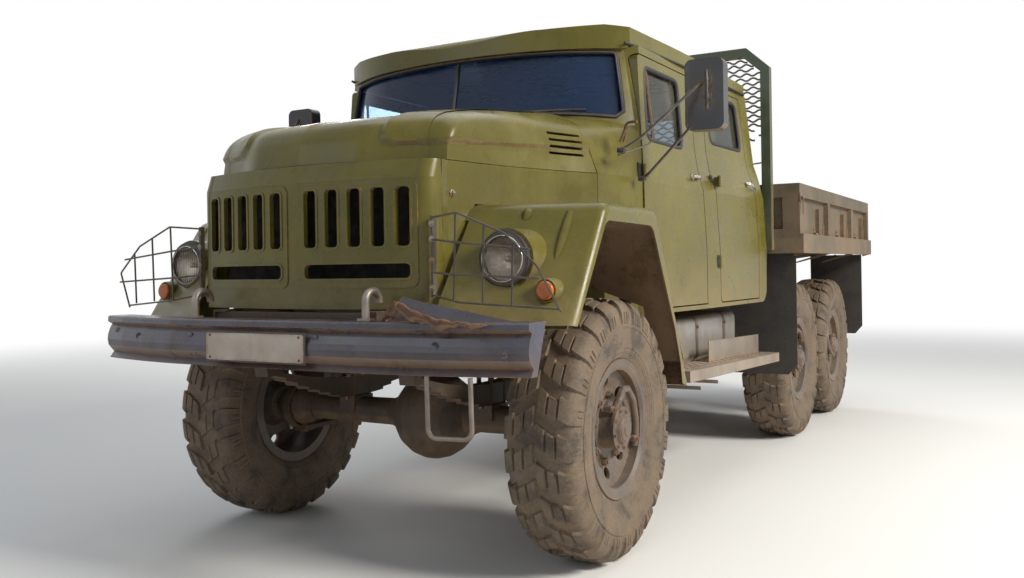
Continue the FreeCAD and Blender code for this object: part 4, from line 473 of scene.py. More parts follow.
def soft_box(bm, low, high, round_by=0.004, segments=2):
    """A box between two corners with rounded edges."""
    low, high = Vector(low), Vector(high)
    made = bmesh.ops.create_cube(bm, size=1.0, matrix=Matrix.Translation((low + high) / 2)
                                 @ Matrix.Diagonal((*(high - low), 1)))
    edges_of = {edge for vert in made["verts"] for edge in vert.link_edges}
    bmesh.ops.bevel(bm, geom=list(edges_of), offset=round_by, segments=segments, profile=0.6,
                    affect="EDGES")


def box_on(bm, spot, low, high, round_by=0.003):
    """A rounded box whose corners are given from a point, in metres."""
    soft_box(bm, spot + Vector(low), spot + Vector(high), round_by)


def facing(place, direction):
    """A frame whose local X axis points along a direction."""
    turn = Vector(direction).to_track_quat("X", "Z")
    return Matrix.Translation(place) @ turn.to_matrix().to_4x4()


def bolt(bm, place, direction, size=0.009, height=0.008, washer=True):
    """A washer, a chamfered six-sided head and the end of its thread."""
    frame_at = facing(place, direction)
    if washer:
        lathe(bm, [(0, size * 1.5), (0.002, size * 1.5), (0.003, size * 1.38), (0.003, 0)],
              frame_at, 16)
    lathe(bm, [(0.002, size), (height * 0.85, size), (height, size * 0.84),
               (height, size * 0.5)], frame_at, 6)
    lathe(bm, [(height, size * 0.5), (height * 1.25, size * 0.48), (height * 1.3, size * 0.4),
               (height * 1.3, 0)], frame_at, 8)


def wires(name, runs, radius, finish, body="chassis", sides=3, order=3, cyclic=False):
    """Bent bars: one spline for each run of points."""
    data = bpy.data.curves.new(name, "CURVE")
    data.dimensions = "3D"
    data.bevel_depth = radius
    data.bevel_resolution = sides
    data.use_fill_caps = True
    data.resolution_u = 6
    for run in runs:
        spline = data.splines.new("NURBS" if order > 2 else "POLY")
        spline.points.add(len(run) - 1)
        for point, co in zip(spline.points, run):
            point.co = (*co, 1)
        spline.use_cyclic_u = cyclic
        if order > 2:
            spline.order_u = order
            spline.use_endpoint_u = not cyclic
    piece(name, data, finish, body, sharp=0)


def loop(name, points, radius, finish, body="chassis", sides=3):
    """A bar along a closed line of points."""
    wires(name, [points], radius, finish, body, sides, 2, True)


def corners(points, radius, steps=6):
    """A closed outline in two dimensions with its corners rounded."""
    result = []
    count = len(points)
    for i in range(count):
        before, here, after = (Vector(points[(i + k) % count]) for k in (-1, 0, 1))
        into, out = (before - here).normalized(), (after - here).normalized()
        reach = min(radius, (before - here).length * 0.48, (after - here).length * 0.48)
        start, end = here + into * reach, here + out * reach
        for k in range(steps + 1):
            t = k / steps
            result.append(start * (1 - t) ** 2 + here * 2 * t * (1 - t) + end * t * t)
    return result


def panel(left, low, right, high, radius, steps=6):
    """A rectangle with rounded corners."""
    return corners([(left, low), (right, low), (right, high), (left, high)], radius, steps)


def tree_of(data):
    return BVHTree.FromPolygons([v.co for v in data.vertices],
                                [p.vertices for p in data.polygons])


SURFACES = {}


def onto(node, start, direction):
    """Where a ray meets a CAD node."""
    if node not in SURFACES:
        SURFACES[node] = tree_of(NODES[node].data)
    return SURFACES[node].ray_cast(start, direction)[0]


# Views: where a ray starts, outside the truck, and where it goes, for two coordinates in mm
def front_view(x, z):
    return at(x, -3000, z), Y


def back_view(x, z):
    return at(x, 4000, z), -Y


def top_view(x, y):
    return at(x, y, 3000), -Z


def side_view(sign):
    return lambda y, z: (at(1800 * sign, y, z), X * -sign)


def cabin_view(sign):
    return lambda y, z: (at(300 * sign, y, z), X * sign)


def thrown(node, places, view, lift=0.0):
    """Where the rays of a view meet a node, lifted off it again. Rays that miss are left out."""
    result = []
    for place in places:
        start, way = view(*place)
        hit = onto(node, start, way)
        if hit is not None:
            result.append(hit - way * lift)
    return result


# ---------------------------------------------------------------- tyres
CROWN, PITCHES, BAR_SLANT, LUG_HEIGHT = 0.544, 24, 0.62, 0.0165
# carcass section, outer half: distance from the middle, radius
CARCASS = [(0, CROWN), (0.05, 0.5435), (0.09, 0.541), (0.118, 0.534), (0.136, 0.521),
           (0.146, 0.503), (0.152, 0.478), (0.156, 0.452), (0.1575, 0.4445), (0.161, 0.443),
           (0.1618, 0.438), (0.1612, 0.434), (0.158, 0.432), (0.1572, 0.405), (0.153, 0.372),
           (0.147, 0.35), (0.147, 0.347), (0.1445, 0.345), (0.143, 0.334), (0.1412, 0.333),
           (0.1408, 0.3305), (0.1355, 0.322), (0.1342, 0.3208), (0.1335, 0.318), (0.128, 0.309),
           (0.121, 0.3), (0.112, 0.296)]
# shoulder lug stations: distance from the middle, radius, lean of the face, height, groove share
LUG = [(0.094, 0.5405, 0.08, 0.0, 1), (0.097, 0.5402, 0.1, LUG_HEIGHT, 1),
       (0.116, 0.535, 0.3, LUG_HEIGHT, 1), (0.133, 0.524, 0.62, 0.0155, 1),
       (0.1425, 0.51, 0.95, 0.013, 1), (0.1475, 0.4985, 1.15, 0.011, 1),
       (0.1485, 0.4955, 1.2, 0.0105, 0.25), (0.1515, 0.481, 1.32, 0.0085, 0.25),
       (0.1545, 0.461, 1.42, 0.0065, 0.25), (0.1558, 0.4535, 1.45, 0.005, 0.3),
       (0.1562, 0.4505, 1.48, 0.0, 1)]
# across a lug: place, share of the height; None in a groove
LUG_ACROSS = list(zip(
    [-0.047, -0.042, -0.0185, -0.0155, -0.0105, -0.0075, 0.0075, 0.0105, 0.0155, 0.0185, 0.042,
     0.047], [0, 1, 1, None, None, 1, 1, None, None, 1, 1, 0]))
# crown blocks of one bar: inner and outer edge
BLOCKS = [(0.004, 0.0455), (0.0505, 0.0905)]


def crown_block(bm, rng, side, middle, wear, inner, outer):
    shift = [rng.uniform(-0.0025, 0.0025) for _ in range(4)]
    lean = rng.uniform(-0.0012, 0.0012)
    across = ((-0.042 + shift[0], 0), (-0.038 + shift[1], 1), (0.0, 1.03), (0.038 + shift[2], 1),
              (0.042 + shift[3], 0))
    stations = ((inner, 0), (inner + 0.003, 1), ((inner + outer) / 2, 1.02), (outer - 0.003, 1),
                (outer, 0))
    rows = []
    for k, (x, share) in enumerate(stations):
        base = CROWN - (0.0 if x < 0.05 else (x - 0.05) * 0.075)
        row = []
        for c, rise in across:
            height = (LUG_HEIGHT + wear + lean * (k - 2)) * share * rise
            height -= 0.002 * (share * rise < 0.1)
            row.append(around(side * x, base + height,
                              middle + ((x - 0.095) * BAR_SLANT + c) / CROWN))
        rows.append(row)
    sheet(bm, rows)


def shoulder_lug(bm, rng, side, middle, wear):
    skew = rng.uniform(-0.002, 0.002)
    rows = []
    for x, r, lean, height, groove in LUG:
        on_tread = r > 0.5
        slant = min(0.0, x - 0.125) * BAR_SLANT if on_tread else 0.0
        row = []
        for c, rise in LUG_ACROSS:
            share = groove if rise is None else rise
            up = (height + (wear if height > 0.014 else 0)) * share
            up -= 0.0015 * (share * height < 0.001)
            turn = middle + (slant + c * (1 if on_tread else 0.94) + skew) / max(r, 0.5)
            row.append(around(side * (x + up * math.sin(lean)), r + up * math.cos(lean), turn))
        rows.append(row)
    sheet(bm, rows)


def make_tyre(seed):
    """Carcass, shoulder lugs with two grooves each and slanting crown blocks, worn unevenly."""
    rng = random.Random(seed)
    bm = bmesh.new()
    lathe(bm, [(-x, r) for x, r in reversed(CARCASS[1:])] + CARCASS, steps=96)
    for side in (1, -1):
        for number in range(PITCHES):
            middle = 2 * math.pi / PITCHES * (number + 0.25 * side)
            wear = rng.uniform(-0.0018, 0.0006)
            for inner, outer in BLOCKS:
                crown_block(bm, rng, side, middle, wear, inner, outer)
            shoulder_lug(bm, rng, side, middle, wear)
    return mesh_of("tyre_tread", bm)


def wheels():
    """Each wheel's number of axle, name, side, sign and frame, its local X axis outwards."""
    for i, axle in enumerate(AXLES):
        for side, sign in SIDES:
            low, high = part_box(f"tyre_{axle}_{side}")
            outward = Matrix() if sign > 0 else Matrix.Rotation(math.pi, 4, "Z")
            yield i, axle, side, sign, Matrix.Translation((low + high) / 2) @ outward


tyre_meshes = [make_tyre(5), make_tyre(11)]
for i, axle, side, sign, frame_at in wheels():
    spin = Matrix.Rotation(0.37 * i + (0.2 if sign > 0 else 0.6), 4, "X")
    tyre = piece(f"treaded_tyre_{axle}_{side}", tyre_meshes[i > 0], TYRE, f"{axle}_{side}_wheel",
                 32, frame_at @ spin)
    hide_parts(f"tyre_{axle}_{side}")

# ---------------------------------------------------------------- wheel trim
NUT_FACE, NUT_CIRCLE = 0.05, 0.144
COVER_FACE, COVER_CIRCLE = 0.134, 0.0815
RIVET_FACE, RIVET_CIRCLE = 0.108, 0.2705
LOCK_RING = [(0.118, 0.2975), (0.1215, 0.2995), (0.127, 0.3), (0.1305, 0.297), (0.131, 0.291),
             (0.1285, 0.2865), (0.122, 0.286), (0.118, 0.29)]
# the air pipe's guard, from the hub to the rim: distance outwards, radius, degrees
GUARD = [(0.112, 0.09, 100), (0.132, 0.125, 88), (0.128, 0.165, 68), (0.118, 0.195, 44),
         (0.112, 0.212, 18), (0.108, 0.222, -8), (0.104, 0.238, -26), (0.1, 0.252, -38)]


def course(points):
    """Each point of a line with the line's direction there."""
    last = len(points) - 1
    for i, point in enumerate(points):
        yield i, point, (points[min(i + 1, last)] - points[max(i - 1, 0)]).normalized()


def make_trim():
    """Lock ring, studs and nuts, hub bolts, and the guard over the tyre's air pipe."""
    bm = bmesh.new()
    strip(bm, [[polar(x, r, 3 + 354 * step / 72) for x, r in LOCK_RING] for step in range(73)])
    for number in range(8):
        bolt(bm, polar(NUT_FACE, NUT_CIRCLE, 22.5 + 45 * number), X, 0.0175, 0.026)
        bolt(bm, polar(COVER_FACE, COVER_CIRCLE, 45 * number), X, 0.0085, 0.008)
    lathe(bm, [(0.15, 0.055), (0.156, 0.05), (0.157, 0.03), (0.162, 0.026), (0.163, 0)], steps=24)
    for number in range(24):
        lathe(bm, [(0, 0.005), (0.0035, 0.0045), (0.0045, 0.002), (0.0045, 0)],
              facing(polar(RIVET_FACE, RIVET_CIRCLE, 15 * number), X), 8)
    rows = []
    for i, point, ahead in course([polar(*place) for place in GUARD]):
        aside = ahead.cross(X).normalized() * (0.017 - 0.004 * (i / len(GUARD)))
        rows.append([point + aside * math.cos(t) + X * (0.016 * math.sin(t) - 0.004)
                     for t in turns(10)])
    strip(bm, rows)
    for place in ((0.1, 0.232, -31), (0.112, 0.11, 112)):
        spot = polar(*place)
        bolt(bm, spot + X * 0.008, X, 0.009, 0.012)
        lathe(bm, [(-0.03, 0.016), (0.004, 0.016), (0.008, 0.012), (0.008, 0)],
              facing(spot, X), 12)
    return mesh_of("wheel_fittings", bm)


trim_mesh = make_trim()
for i, axle, side, sign, frame_at in wheels():
    piece(f"wheel_fittings_{axle}_{side}", trim_mesh, RIM, f"{axle}_{side}_wheel", 35,
          frame_at @ Matrix.Rotation(0.2 + 0.9 * i, 4, "X"))

# ---------------------------------------------------------------- windscreen and windows
def screen_outline(inset):
    """The windscreen's outline: bowed sill and top, raked sides, rounded corners."""
    low = [(x, 2014 - 40 * (x / 858) ** 2 + inset) for x in range(-780, 781, 195)]
    high = [(x, 2334 - 12 * (x / 806) ** 2 - inset) for x in range(760, -761, -190)]
    foot, head = (858 - inset, 1974 + inset), (806 - inset, 2322 - inset)
    return corners([(-foot[0], foot[1]), *low, foot, head, *high, (-head[0], head[1])], 46, 4)


screen_ring = thrown("cab_glass", screen_outline(9), front_view)
loop("windscreen_seal", [p - Y * 0.019 for p in screen_ring], 0.0105, SEAL)
loop("windscreen_seal_lip", [p - Y * 0.031 + Z * 0.001 for p in screen_ring], 0.0035, TRIM)
bar = thrown("cab_glass", [(0, z) for z in range(2025, 2331, 60)], front_view, 0.006)
wires("windscreen_bar", [bar, [p + Y * 0.014 for p in bar]], 0.0085, SEAL)
loop("back_window_seal", thrown("cab_glass", panel(-492, 1968, 492, 2252, 50), back_view, 0.014),
     0.013, SEAL)
WINDOWS = {"front": [(676, 1886), (1182, 1886), (1170, 2254), (698, 2254)],
           "rear": [(1648, 1968), (2188, 1968), (2172, 2264), (1648, 2264)]}
for which, outline in WINDOWS.items():
    for side, sign in SIDES:
        loop(f"{which}_window_seal_{side}",
             thrown(f"{which}_door_glass_{side}", corners(outline, 56), side_view(sign), 0.013),
             0.0125, SEAL, f"{which}_{side}_door")
QUARTER_BAR = [(752, 2246), (774, 2080), (800, 1894)]
QUARTER_FRAME = corners([(684, 1896), (790, 1896), (744, 2244), (702, 2244)], 20)
for side, sign in SIDES:
    pane, view = f"front_door_glass_{side}", side_view(sign)
    wires(f"quarter_light_bar_{side}", [thrown(pane, QUARTER_BAR, view, 0.006)], 0.0075, RUST,
          f"front_{side}_door", order=2)
    loop(f"quarter_light_frame_{side}", thrown(pane, QUARTER_FRAME, view, 0.004), 0.004, TRIM,
         f"front_{side}_door")
DRIP_RAIL = ((848, 570), (872, 640), (891, 1000), (913, 1400), (925, 1900), (937, 2330),
             (930, 2372), (880, 2424))
# the drip rails are real gutters, given near-black rubber as painted shade: the dark line under
# the roof's edge
for side, sign in SIDES:
    wires(f"drip_rail_{side}", [[at(sign * x, y, 2353) for x, y in DRIP_RAIL]], 0.0065, SEAL)


# ---------------------------------------------------------------- doors
def handle_mesh(sign):
    """An oval dish with a lever across it."""
    bm = bmesh.new()
    strip(bm, [[Vector((sign * depth, 0.062 * grow * math.cos(t), 0.025 * grow * math.sin(t)))
                for t in turns(20)]
               for depth, grow in ((0, 1), (0.005, 0.98), (0.0065, 0.9), (0.003, 0.74),
                                   (0.001, 0.3))])
    lever = ((0.056, 0.002, 0.008, 0.004), (0.05, 0.018, 0.011, 0.006),
             (0.036, 0.03, 0.012, 0.006), (0, 0.036, 0.0115, 0.005),
             (-0.04, 0.036, 0.0105, 0.0045), (-0.066, 0.032, 0.009, 0.004),
             (-0.074, 0.029, 0.005, 0.002))
    strip(bm, [[Vector((sign * (x + thick * math.sin(t)), y, wide * math.cos(t)))
                for t in turns(10)] for y, x, wide, thick in lever])
    return mesh_of("door_handle", bm)


def winder(bm, spot, out, radius, reach, drop, knob):
    """A boss with an arm, and on the winder a knob at the arm's end."""
    lathe(bm, [(0, radius), (0.006, radius), (0.01, radius * 0.7), (0.022, radius * 0.5),
               (0.024, 0)], facing(spot, out), 20)
    start, end = spot + out * 0.02, spot + out * 0.024 + Vector((0, reach, drop))
    aside = (end - start).normalized().cross(X).normalized() * 0.007
    strip(bm, [[p + aside, p + X * 0.003, p - aside, p - X * 0.003]
               for p in (start, start.lerp(end, 0.5), end)])
    if knob:
        lathe(bm, [(0, 0.008), (0.01, 0.012), (0.03, 0.013), (0.038, 0.009), (0.04, 0)],
              facing(end, out), 14)


# outside handle: y, z, turn about its axis; inside fittings: y
DOORS = {"front": (1285, 1738, 0.0, 1010), "rear": (2186, 1745, math.pi - 0.35, 1930)}
HANDLE_SCALE = Matrix.Diagonal((0.8, 0.95, 0.85, 1))
WINDER = ((0, 1560, 0.026, 0.085, -0.05, True), (150, 1640, 0.02, 0.06, 0.0, False))
HINGES = [(1536, 1735), (1536, 1275), (580, 1725), (580, 1485)]
for side, sign in SIDES:
    inwards = X * -sign
    for which, (y, z, tilt, _) in DOORS.items():
        for spot in thrown(f"{which}_door_{side}", [(y, z)], side_view(sign)):
            piece(f"{which}_handle_{side}", handle_mesh(sign), SILVER, f"{which}_{side}_door", 50,
                  Matrix.Translation(spot) @ HANDLE_SCALE @ Matrix.Rotation(tilt, 4, "X"))
    for which, (_, _, _, y) in DOORS.items():
        node, body = f"{which}_door_{side}", f"{which}_{side}_door"
        with shape(f"{which}_winder_{side}", TRIM, body) as bm:
            for dy, z, *form in WINDER:
                for spot in thrown(node, [(y + dy, z)], cabin_view(sign)):
                    winder(bm, spot, inwards, *form)
        ends = thrown(node, [(y - 60, 1700), (y + 120, 1700)], cabin_view(sign))
        if len(ends) == 2:
            a, b = ends
            wires(f"{which}_pull_{side}", [[
                a, a + inwards * 0.03, a.lerp(b, 0.12) + inwards * 0.042,
                a.lerp(b, 0.88) + inwards * 0.042, b + inwards * 0.03, b]], 0.008, TRIM, body)
    with shape(f"hinge_leaves_{side}", SEAL) as bm:
        for spot in thrown("cab_shell", HINGES, side_view(sign)):
            box_on(bm, spot, (-0.004, -0.02, -0.036), (0.004, 0.022, 0.036))
            for dz in (-0.022, 0.022):
                bolt(bm, spot + Vector((sign * 0.004, -0.006, dz)), X * sign, 0.006, 0.004, False)

# ---------------------------------------------------------------- lamps
HEADLAMP, INDICATOR, TAIL_LAMP = (852, -659, 1293), (1023, -642, 1172), (940, 5310, 1240)
# turned rings around each headlamp: name, finish, closed, section
RINGS = (
    ("headlamp_ring", TRIM, False,
     [(0, 0.104), (0.004, 0.1045), (0.0075, 0.103), (0.009, 0.0995), (0.0085, 0.0965),
      (0.0125, 0.0935), (0.0165, 0.0885), (0.0165, 0.0865), (0.012, 0.0855), (0.004, 0.0855)]),
    ("headlamp_bright_ring", SILVER, False,
     [(0.0168, 0.0895), (0.0185, 0.0885), (0.0185, 0.0868), (0.015, 0.0858)]),
    ("headlamp_gasket", SEAL, True,
     [(-0.002, 0.1075), (0.003, 0.1085), (0.0065, 0.1065), (0.0065, 0.1035), (-0.002, 0.103)]),
)
for side, sign in SIDES:
    headlamp, indicator, tail_lamp = (at(sign * x, y, z) for x, y, z in
                                      (HEADLAMP, INDICATOR, TAIL_LAMP))
    for name, finish, closed, section in RINGS:
        with shape(f"{name}_{side}", finish) as bm:
            lathe(bm, section, facing(headlamp, -Y), 64, closed)
    with shape(f"reflector_{side}", SILVER) as bm:
        dish = facing(at(sign * HEADLAMP[0], -650, HEADLAMP[2]), Y)
        lathe(bm, [(0.001 + 0.05 * (1 - (r / 0.0845) ** 2), r)
                   for r in (0.0845, 0.076, 0.066, 0.054, 0.04, 0.026, 0.014)], dish, 48)
        lathe(bm, [(0.05, 0.013), (0.03, 0.013), (0.027, 0.011), (0.012, 0.0105), (0.006, 0.006),
                   (0.0045, 0)], dish, 20)
    with shape(f"indicator_bowl_{side}", OLIVE) as bm:
        lathe(bm, [(-0.04, 0.046), (0.006, 0.0455), (0.0115, 0.0435), (0.012, 0.0395),
                   (0.008, 0.0375), (-0.01, 0.037)], facing(indicator, -Y), 36)
    with shape(f"guard_bolts_{side}", IRON) as bm:
        for z in (1430, 1372, 1290, 1186):
            bolt(bm, at(sign * 619, -803, z), -Y, 0.008, 0.006)
        for spot in thrown("hood_sides", [(-640, 1555)], side_view(sign)):
            bolt(bm, spot, X * sign, 0.011, 0.01)
    with shape(f"tail_lamp_case_{side}", TRIM) as bm:
        lathe(bm, [(-0.03, 0.05), (0.004, 0.0505), (0.008, 0.049), (0.0085, 0.0465),
                   (0.004, 0.0455)], facing(tail_lamp, Y), 36)
        x = sign * TAIL_LAMP[0]
        soft_box(bm, at(x - 8, 5250, 1200), at(x + 8, 5284, 1330), 0.002)


# ---------------------------------------------------------------- wings, bumper and plate
def ridge(bm, points, widths, heights, normal):
    """A pressed rib that swells and fades along a line of surface points."""
    rows = []
    for i, point, ahead in course(points):
        aside = ahead.cross(normal).normalized()
        out = aside.cross(ahead).normalized()
        rows.append([point + aside * (widths[i] * u)
                     + out * (heights[i] * (1 - u * u) ** 1.5 - 0.0015)
                     for u in (k / 4 for k in range(-4, 5))])
    sheet(bm, rows)


for side, sign in SIDES:
    with shape(f"wing_ribs_{side}", OLIVE, sharp=180) as bm:
        for x, heights in ((1004, range(1478, 1262, -24)), (846, range(1490, 1436, -9))):
            line = thrown("fenders", [(sign * x, z) for z in heights], front_view)
            last = len(line) - 1
            share = [math.sin(math.pi * (0.12 + 0.88 * i / last)) ** 0.6 for i in range(last)]
            share.append(0.0)
            ridge(bm, line, [0.008 + 0.016 * s for s in share], [0.002 + 0.011 * s for s in share],
                  -Y)


def studs(name, finish, node, places, view, section, steps):
    """Small turned heads on a node's surface."""
    with shape(name, finish) as bm:
        for spot in thrown(node, places, view):
            lathe(bm, section, facing(spot, -view(0, 0)[1]), steps)


studs("bumper_bolts", BUMPER, "bumper", ((-1010, 1004), (-440, 1000), (236, 1004), (1010, 958)),
      front_view, [(0, 0.013), (0.003, 0.0128), (0.005, 0.0105), (0.0066, 0.005), (0.0068, 0)], 16)
# black discs on the bumper: painted shade standing in for its holes
studs("bumper_hole_shade", SEAL, "bumper", ((-800, 986), (760, 986)), front_view,
      [(0, 0.0155), (0.0012, 0.015), (0.0014, 0.0135), (0.0006, 0.0125), (0.0004, 0)], 20)
with shape("plate_frame", TRIM) as bm:
    soft_box(bm, at(-329, -1047, 901), at(201, -1043, 1023), 0.0018)
    for x in (-300, 172):
        for z in (918, 1006):
            bolt(bm, at(x, -1048.5, z), -Y, 0.0055, 0.003, False)
with shape("blank_plate", PLATE) as bm:
    ring, rim = panel(-322, 908, 194, 1016, 12), panel(-317, 913, 189, 1011, 9)
    slab(bm, ((-1046, ring), (-1049.5, ring), (-1049.5, rim), (-1048.6, rim)))

# ---------------------------------------------------------------- rack mesh
STRAND, CELL, ROW = 0.012, 0.0425, 0.031
MESH_ROWS, MESH_TOP, MESH_HALF, TORN_ROW = 24, 2.648, 0.994, 15
MESH_PLACE = at(0, 2581, 0).y


def rack_top(x):
    """Height of the underside of the rack's top bar or slanting corner."""
    return 2.642 - max(0.0, abs(x) - 0.872) * 0.93


def strand(bm, a, b):
    """A flat strip of metal between two points."""
    along = (b - a).normalized()
    up = Vector((-along.z, 0, along.x)) * STRAND / 2
    deep = Y * 0.0018
    strip(bm, [[p + up - deep, p + up + deep, p - up + deep, p - up - deep] for p in (a, b)],
          False)


def rack_mesh():
    """Expanded metal: staggered cells, warped and torn away towards its foot."""
    rng = random.Random(17)
    bm = bmesh.new()
    half_cells = int(0.992 / CELL) + 1
    for row in range(MESH_ROWS):
        previous = None
        low = row - TORN_ROW
        for i in range(-half_cells, half_cells + 1):
            x, odd = i * CELL, (i + row) % 2
            z = MESH_TOP - ROW * row + (0.0078 if odd else -0.0078)
            torn = low > 0 and rng.random() < 0.05 * low * (low + 1) / 2 + (0.2 if x > 0.6 else 0)
            if abs(x) > MESH_HALF or z > rack_top(x) or torn:
                previous = None
                continue
            warp = 0.004 * math.sin(9 * x + row) + 0.01 * math.sin(5 * x) * max(0, row - 13) / 8
            ends = [Vector((x + k * 0.0085, MESH_PLACE + warp + 0.0016 * odd, z)) for k in (-1, 1)]
            if previous:
                strand(bm, previous, ends[0])
            strand(bm, *ends)
            previous = ends[1]
    data = bpy.data.meshes.new("rack_mesh")
    bm.to_mesh(data)
    bm.free()
    return data


piece("rack_mesh", rack_mesh(), RACK, sharp=0)
HOOK = ((985, 2580, 1930), (940, 2570, 1925), (905, 2560, 1918), (900, 2560, 1908))
wires("rack_hooks", [[at(sign * x, y, z) for x, y, z in HOOK] for sign in (1, -1)], 0.005, RACK)

# ---------------------------------------------------------------- mirrors and brackets
LOOP = ((1258, 562, 2170), (1262, 552, 2150), (1264, 548, 2080), (1264, 548, 2030),
        (1262, 554, 1998), (1258, 566, 1990))
for side, sign in SIDES:
    with shape(f"mirror_glass_{side}", MIRROR, sharp=20) as bm:
        ring, rim = panel(1168, 1908, 1322, 2212, 24), panel(1172, 1912, 1318, 2208, 20)
        slab(bm, ((638, ring), (642, ring), (643, rim)), sign)
    wires(f"mirror_loop_{side}", [[at(sign * x, y, z) for x, y, z in LOOP]], 0.0075, TRIM)
    with shape(f"mirror_clamps_{side}", TRIM) as bm:
        stem, rail = sign * 1262, sign * 1158
        for z in (2050, 2128):
            soft_box(bm, at(stem - 22, 556, z - 14), at(stem + 22, 570, z + 14), 0.003)
            bolt(bm, at(stem, 556, z), -Y, 0.007, 0.006)
        soft_box(bm, at(rail - 1, 563, 1912), at(rail + 3, 567, 2206), 0.001)
        for x, y, z in ((934, 304, 1792), (950, 516, 1676)):  # at the foot of each arm
            soft_box(bm, at(sign * x - 16, y - 16, z - 12), at(sign * x + 16, y + 16, z + 12))
            bolt(bm, at(sign * (x + 16), y, z), X * sign, 0.007, 0.007)
BRACKET = (((918, 330, 1836), (932, 348, 1880), (940, 352, 1920), (962, 345, 1926),
            (1000, 338, 1924)), ((924, 356, 1838), (938, 360, 1884), (944, 358, 1918)))
wires("old_mirror_bracket", [[at(*p) for p in run] for run in BRACKET], 0.0065, RUST)
STAY = ((925, 290, 1770), (980, 400, 1800), (1010, 500, 1848))
wires("mirror_stays", [[at(sign * x, y, z) for x, y, z in STAY] for sign in (1, -1)], 0.004, TRIM)
with shape("washer_jets", RUST) as bm:
    for x in (-420, 420):
        spot = (thrown("cab_shell", [(x, 250)], top_view) or [at(x, 250, 2000)])[0]
        box_on(bm, spot, (-0.014, -0.01, -0.002), (0.014, 0.012, 0.012))


# ---------------------------------------------------------------- torn metal on the bumper's deck
TORN_EDGE = [(506, -968, 1049), (520, -960, 1092), (566, -972, 1136), (610, -990, 1128),
             (700, -1004, 1098), (800, -1012, 1074), (900, -1008, 1062), (990, -996, 1054)]
TORN_STEPS = 6


def torn_lip():
    """A folded, crumpled strip of the deck's sheet."""
    rng = random.Random(5)
    line = []
    for one, two in zip(TORN_EDGE, TORN_EDGE[1:]):
        for k in range(TORN_STEPS):
            spot = Vector(one).lerp(Vector(two), k / TORN_STEPS)
            line.append(spot + Vector((0, rng.uniform(-5, 5), rng.uniform(-5, 5))))
    rows = []
    for i, p in enumerate(line):
        width = 52 * math.sin(math.pi * min(1.0, 0.15 + 0.85 * i / (len(line) - 1))) + 10
        row = []
        for k in range(TORN_STEPS + 1):
            t = k / TORN_STEPS
            fold = math.sin(t * 3.1) * (16 + 6 * math.sin(i * 0.9))
            sag = width * t * (0.75 + 0.2 * math.sin(i * 0.7))
            row.append(at(*(p + Vector((rng.uniform(-3, 3), -fold - 4 + 10 * t, 8 - sag)))))
        rows.append(row)
    bm = bmesh.new()
    sheet(bm, rows)
    return mesh_of("torn_lip", bm)


torn = piece("torn_lip", torn_lip(), RUST, sharp=60)
torn.modifiers.new("sheet", "SOLIDIFY").thickness = 0.003

# ---------------------------------------------------------------- seats
SEAT_LOW, SEAT_HALF, FRONT_ROW, REAR_ROW = 1330, 760, 1085, 1795
VOXEL, SWELL, PRESSURE, FRAMES = 0.02, 0.02, 4.0, 20
CHANNEL, CHANNEL_WIDTH, CHANNEL_DEPTH = 0.19, 0.013, 0.016
# each pad's corners in mm and the face that is sat on or leant on
PADS = {}
for row, start in (("front", FRONT_ROW), ("rear", REAR_ROW)):
    PADS[f"seat_{row}_cushion"] = ((-SEAT_HALF, start, SEAT_LOW),
                                   (SEAT_HALF, start + 440, 1465), Z)
    PADS[f"seat_{row}_backrest"] = ((-SEAT_HALF, start + 452, SEAT_LOW + 10),
                                    (SEAT_HALF, start + 558, 1960), -Y)
soft = {}
for name, (low, high, face) in PADS.items():
    bm = bmesh.new()
    inset = Vector((14, 12, 12))
    soft_box(bm, at(*(Vector(low) + inset)), at(*(Vector(high) - inset)), 0.03, segments=3)
    made = placed(name, mesh_of(name, bm))
    remesh = made.modifiers.new("remesh", "REMESH")
    remesh.mode, remesh.voxel_size = "VOXEL", VOXEL
    soft[name] = made
    made.data = applied(made)
    made.modifiers.clear()
before = {name: [v.co.copy() for v in made.data.vertices] for name, made in soft.items()}
for made in soft.values():
    cloth = made.modifiers.new("cloth", "CLOTH")
    cloth.settings.use_pressure = True
    cloth.settings.uniform_pressure_force = PRESSURE
    cloth.settings.effector_weights.gravity = 0.0
    cloth.settings.quality = 4
    cloth.collision_settings.use_collision = False
    cloth.point_cache.frame_start, cloth.point_cache.frame_end = 1, FRAMES
for step in range(FRAMES):
    bpy.context.scene.frame_set(step + 1)
for made in soft.values():
    done = applied(made)
    made.modifiers.clear()
    made.data = done
bpy.context.scene.frame_set(1)


def quilt(made, low, high, face, rest):
    """Caps the swelling, keeps the pad in its box, subdivides it and sinks its channels."""
    for vert, start in zip(made.data.vertices, rest):
        moved = vert.co - start
        if moved.length > SWELL:
            vert.co = start + moved.normalized() * SWELL
        vert.co = Vector(min(max(vert.co[k], low[k] + 0.001), high[k] - 0.001) for k in range(3))
    finer = made.modifiers.new("finer", "SUBSURF")
    finer.levels = finer.render_levels = 1
    made.data = applied(made)
    made.modifiers.clear()
    normals = [v.normal.copy() for v in made.data.vertices]
    for vert, normal in zip(made.data.vertices, normals):
        shown = min(1.0, max(0.0, normal.dot(face) - 0.15) * 1.6)
        gap = abs((vert.co.x + CHANNEL / 2) % CHANNEL - CHANNEL / 2)
        vert.co -= face * (CHANNEL_DEPTH * shown * math.exp(-(gap / CHANNEL_WIDTH) ** 2))


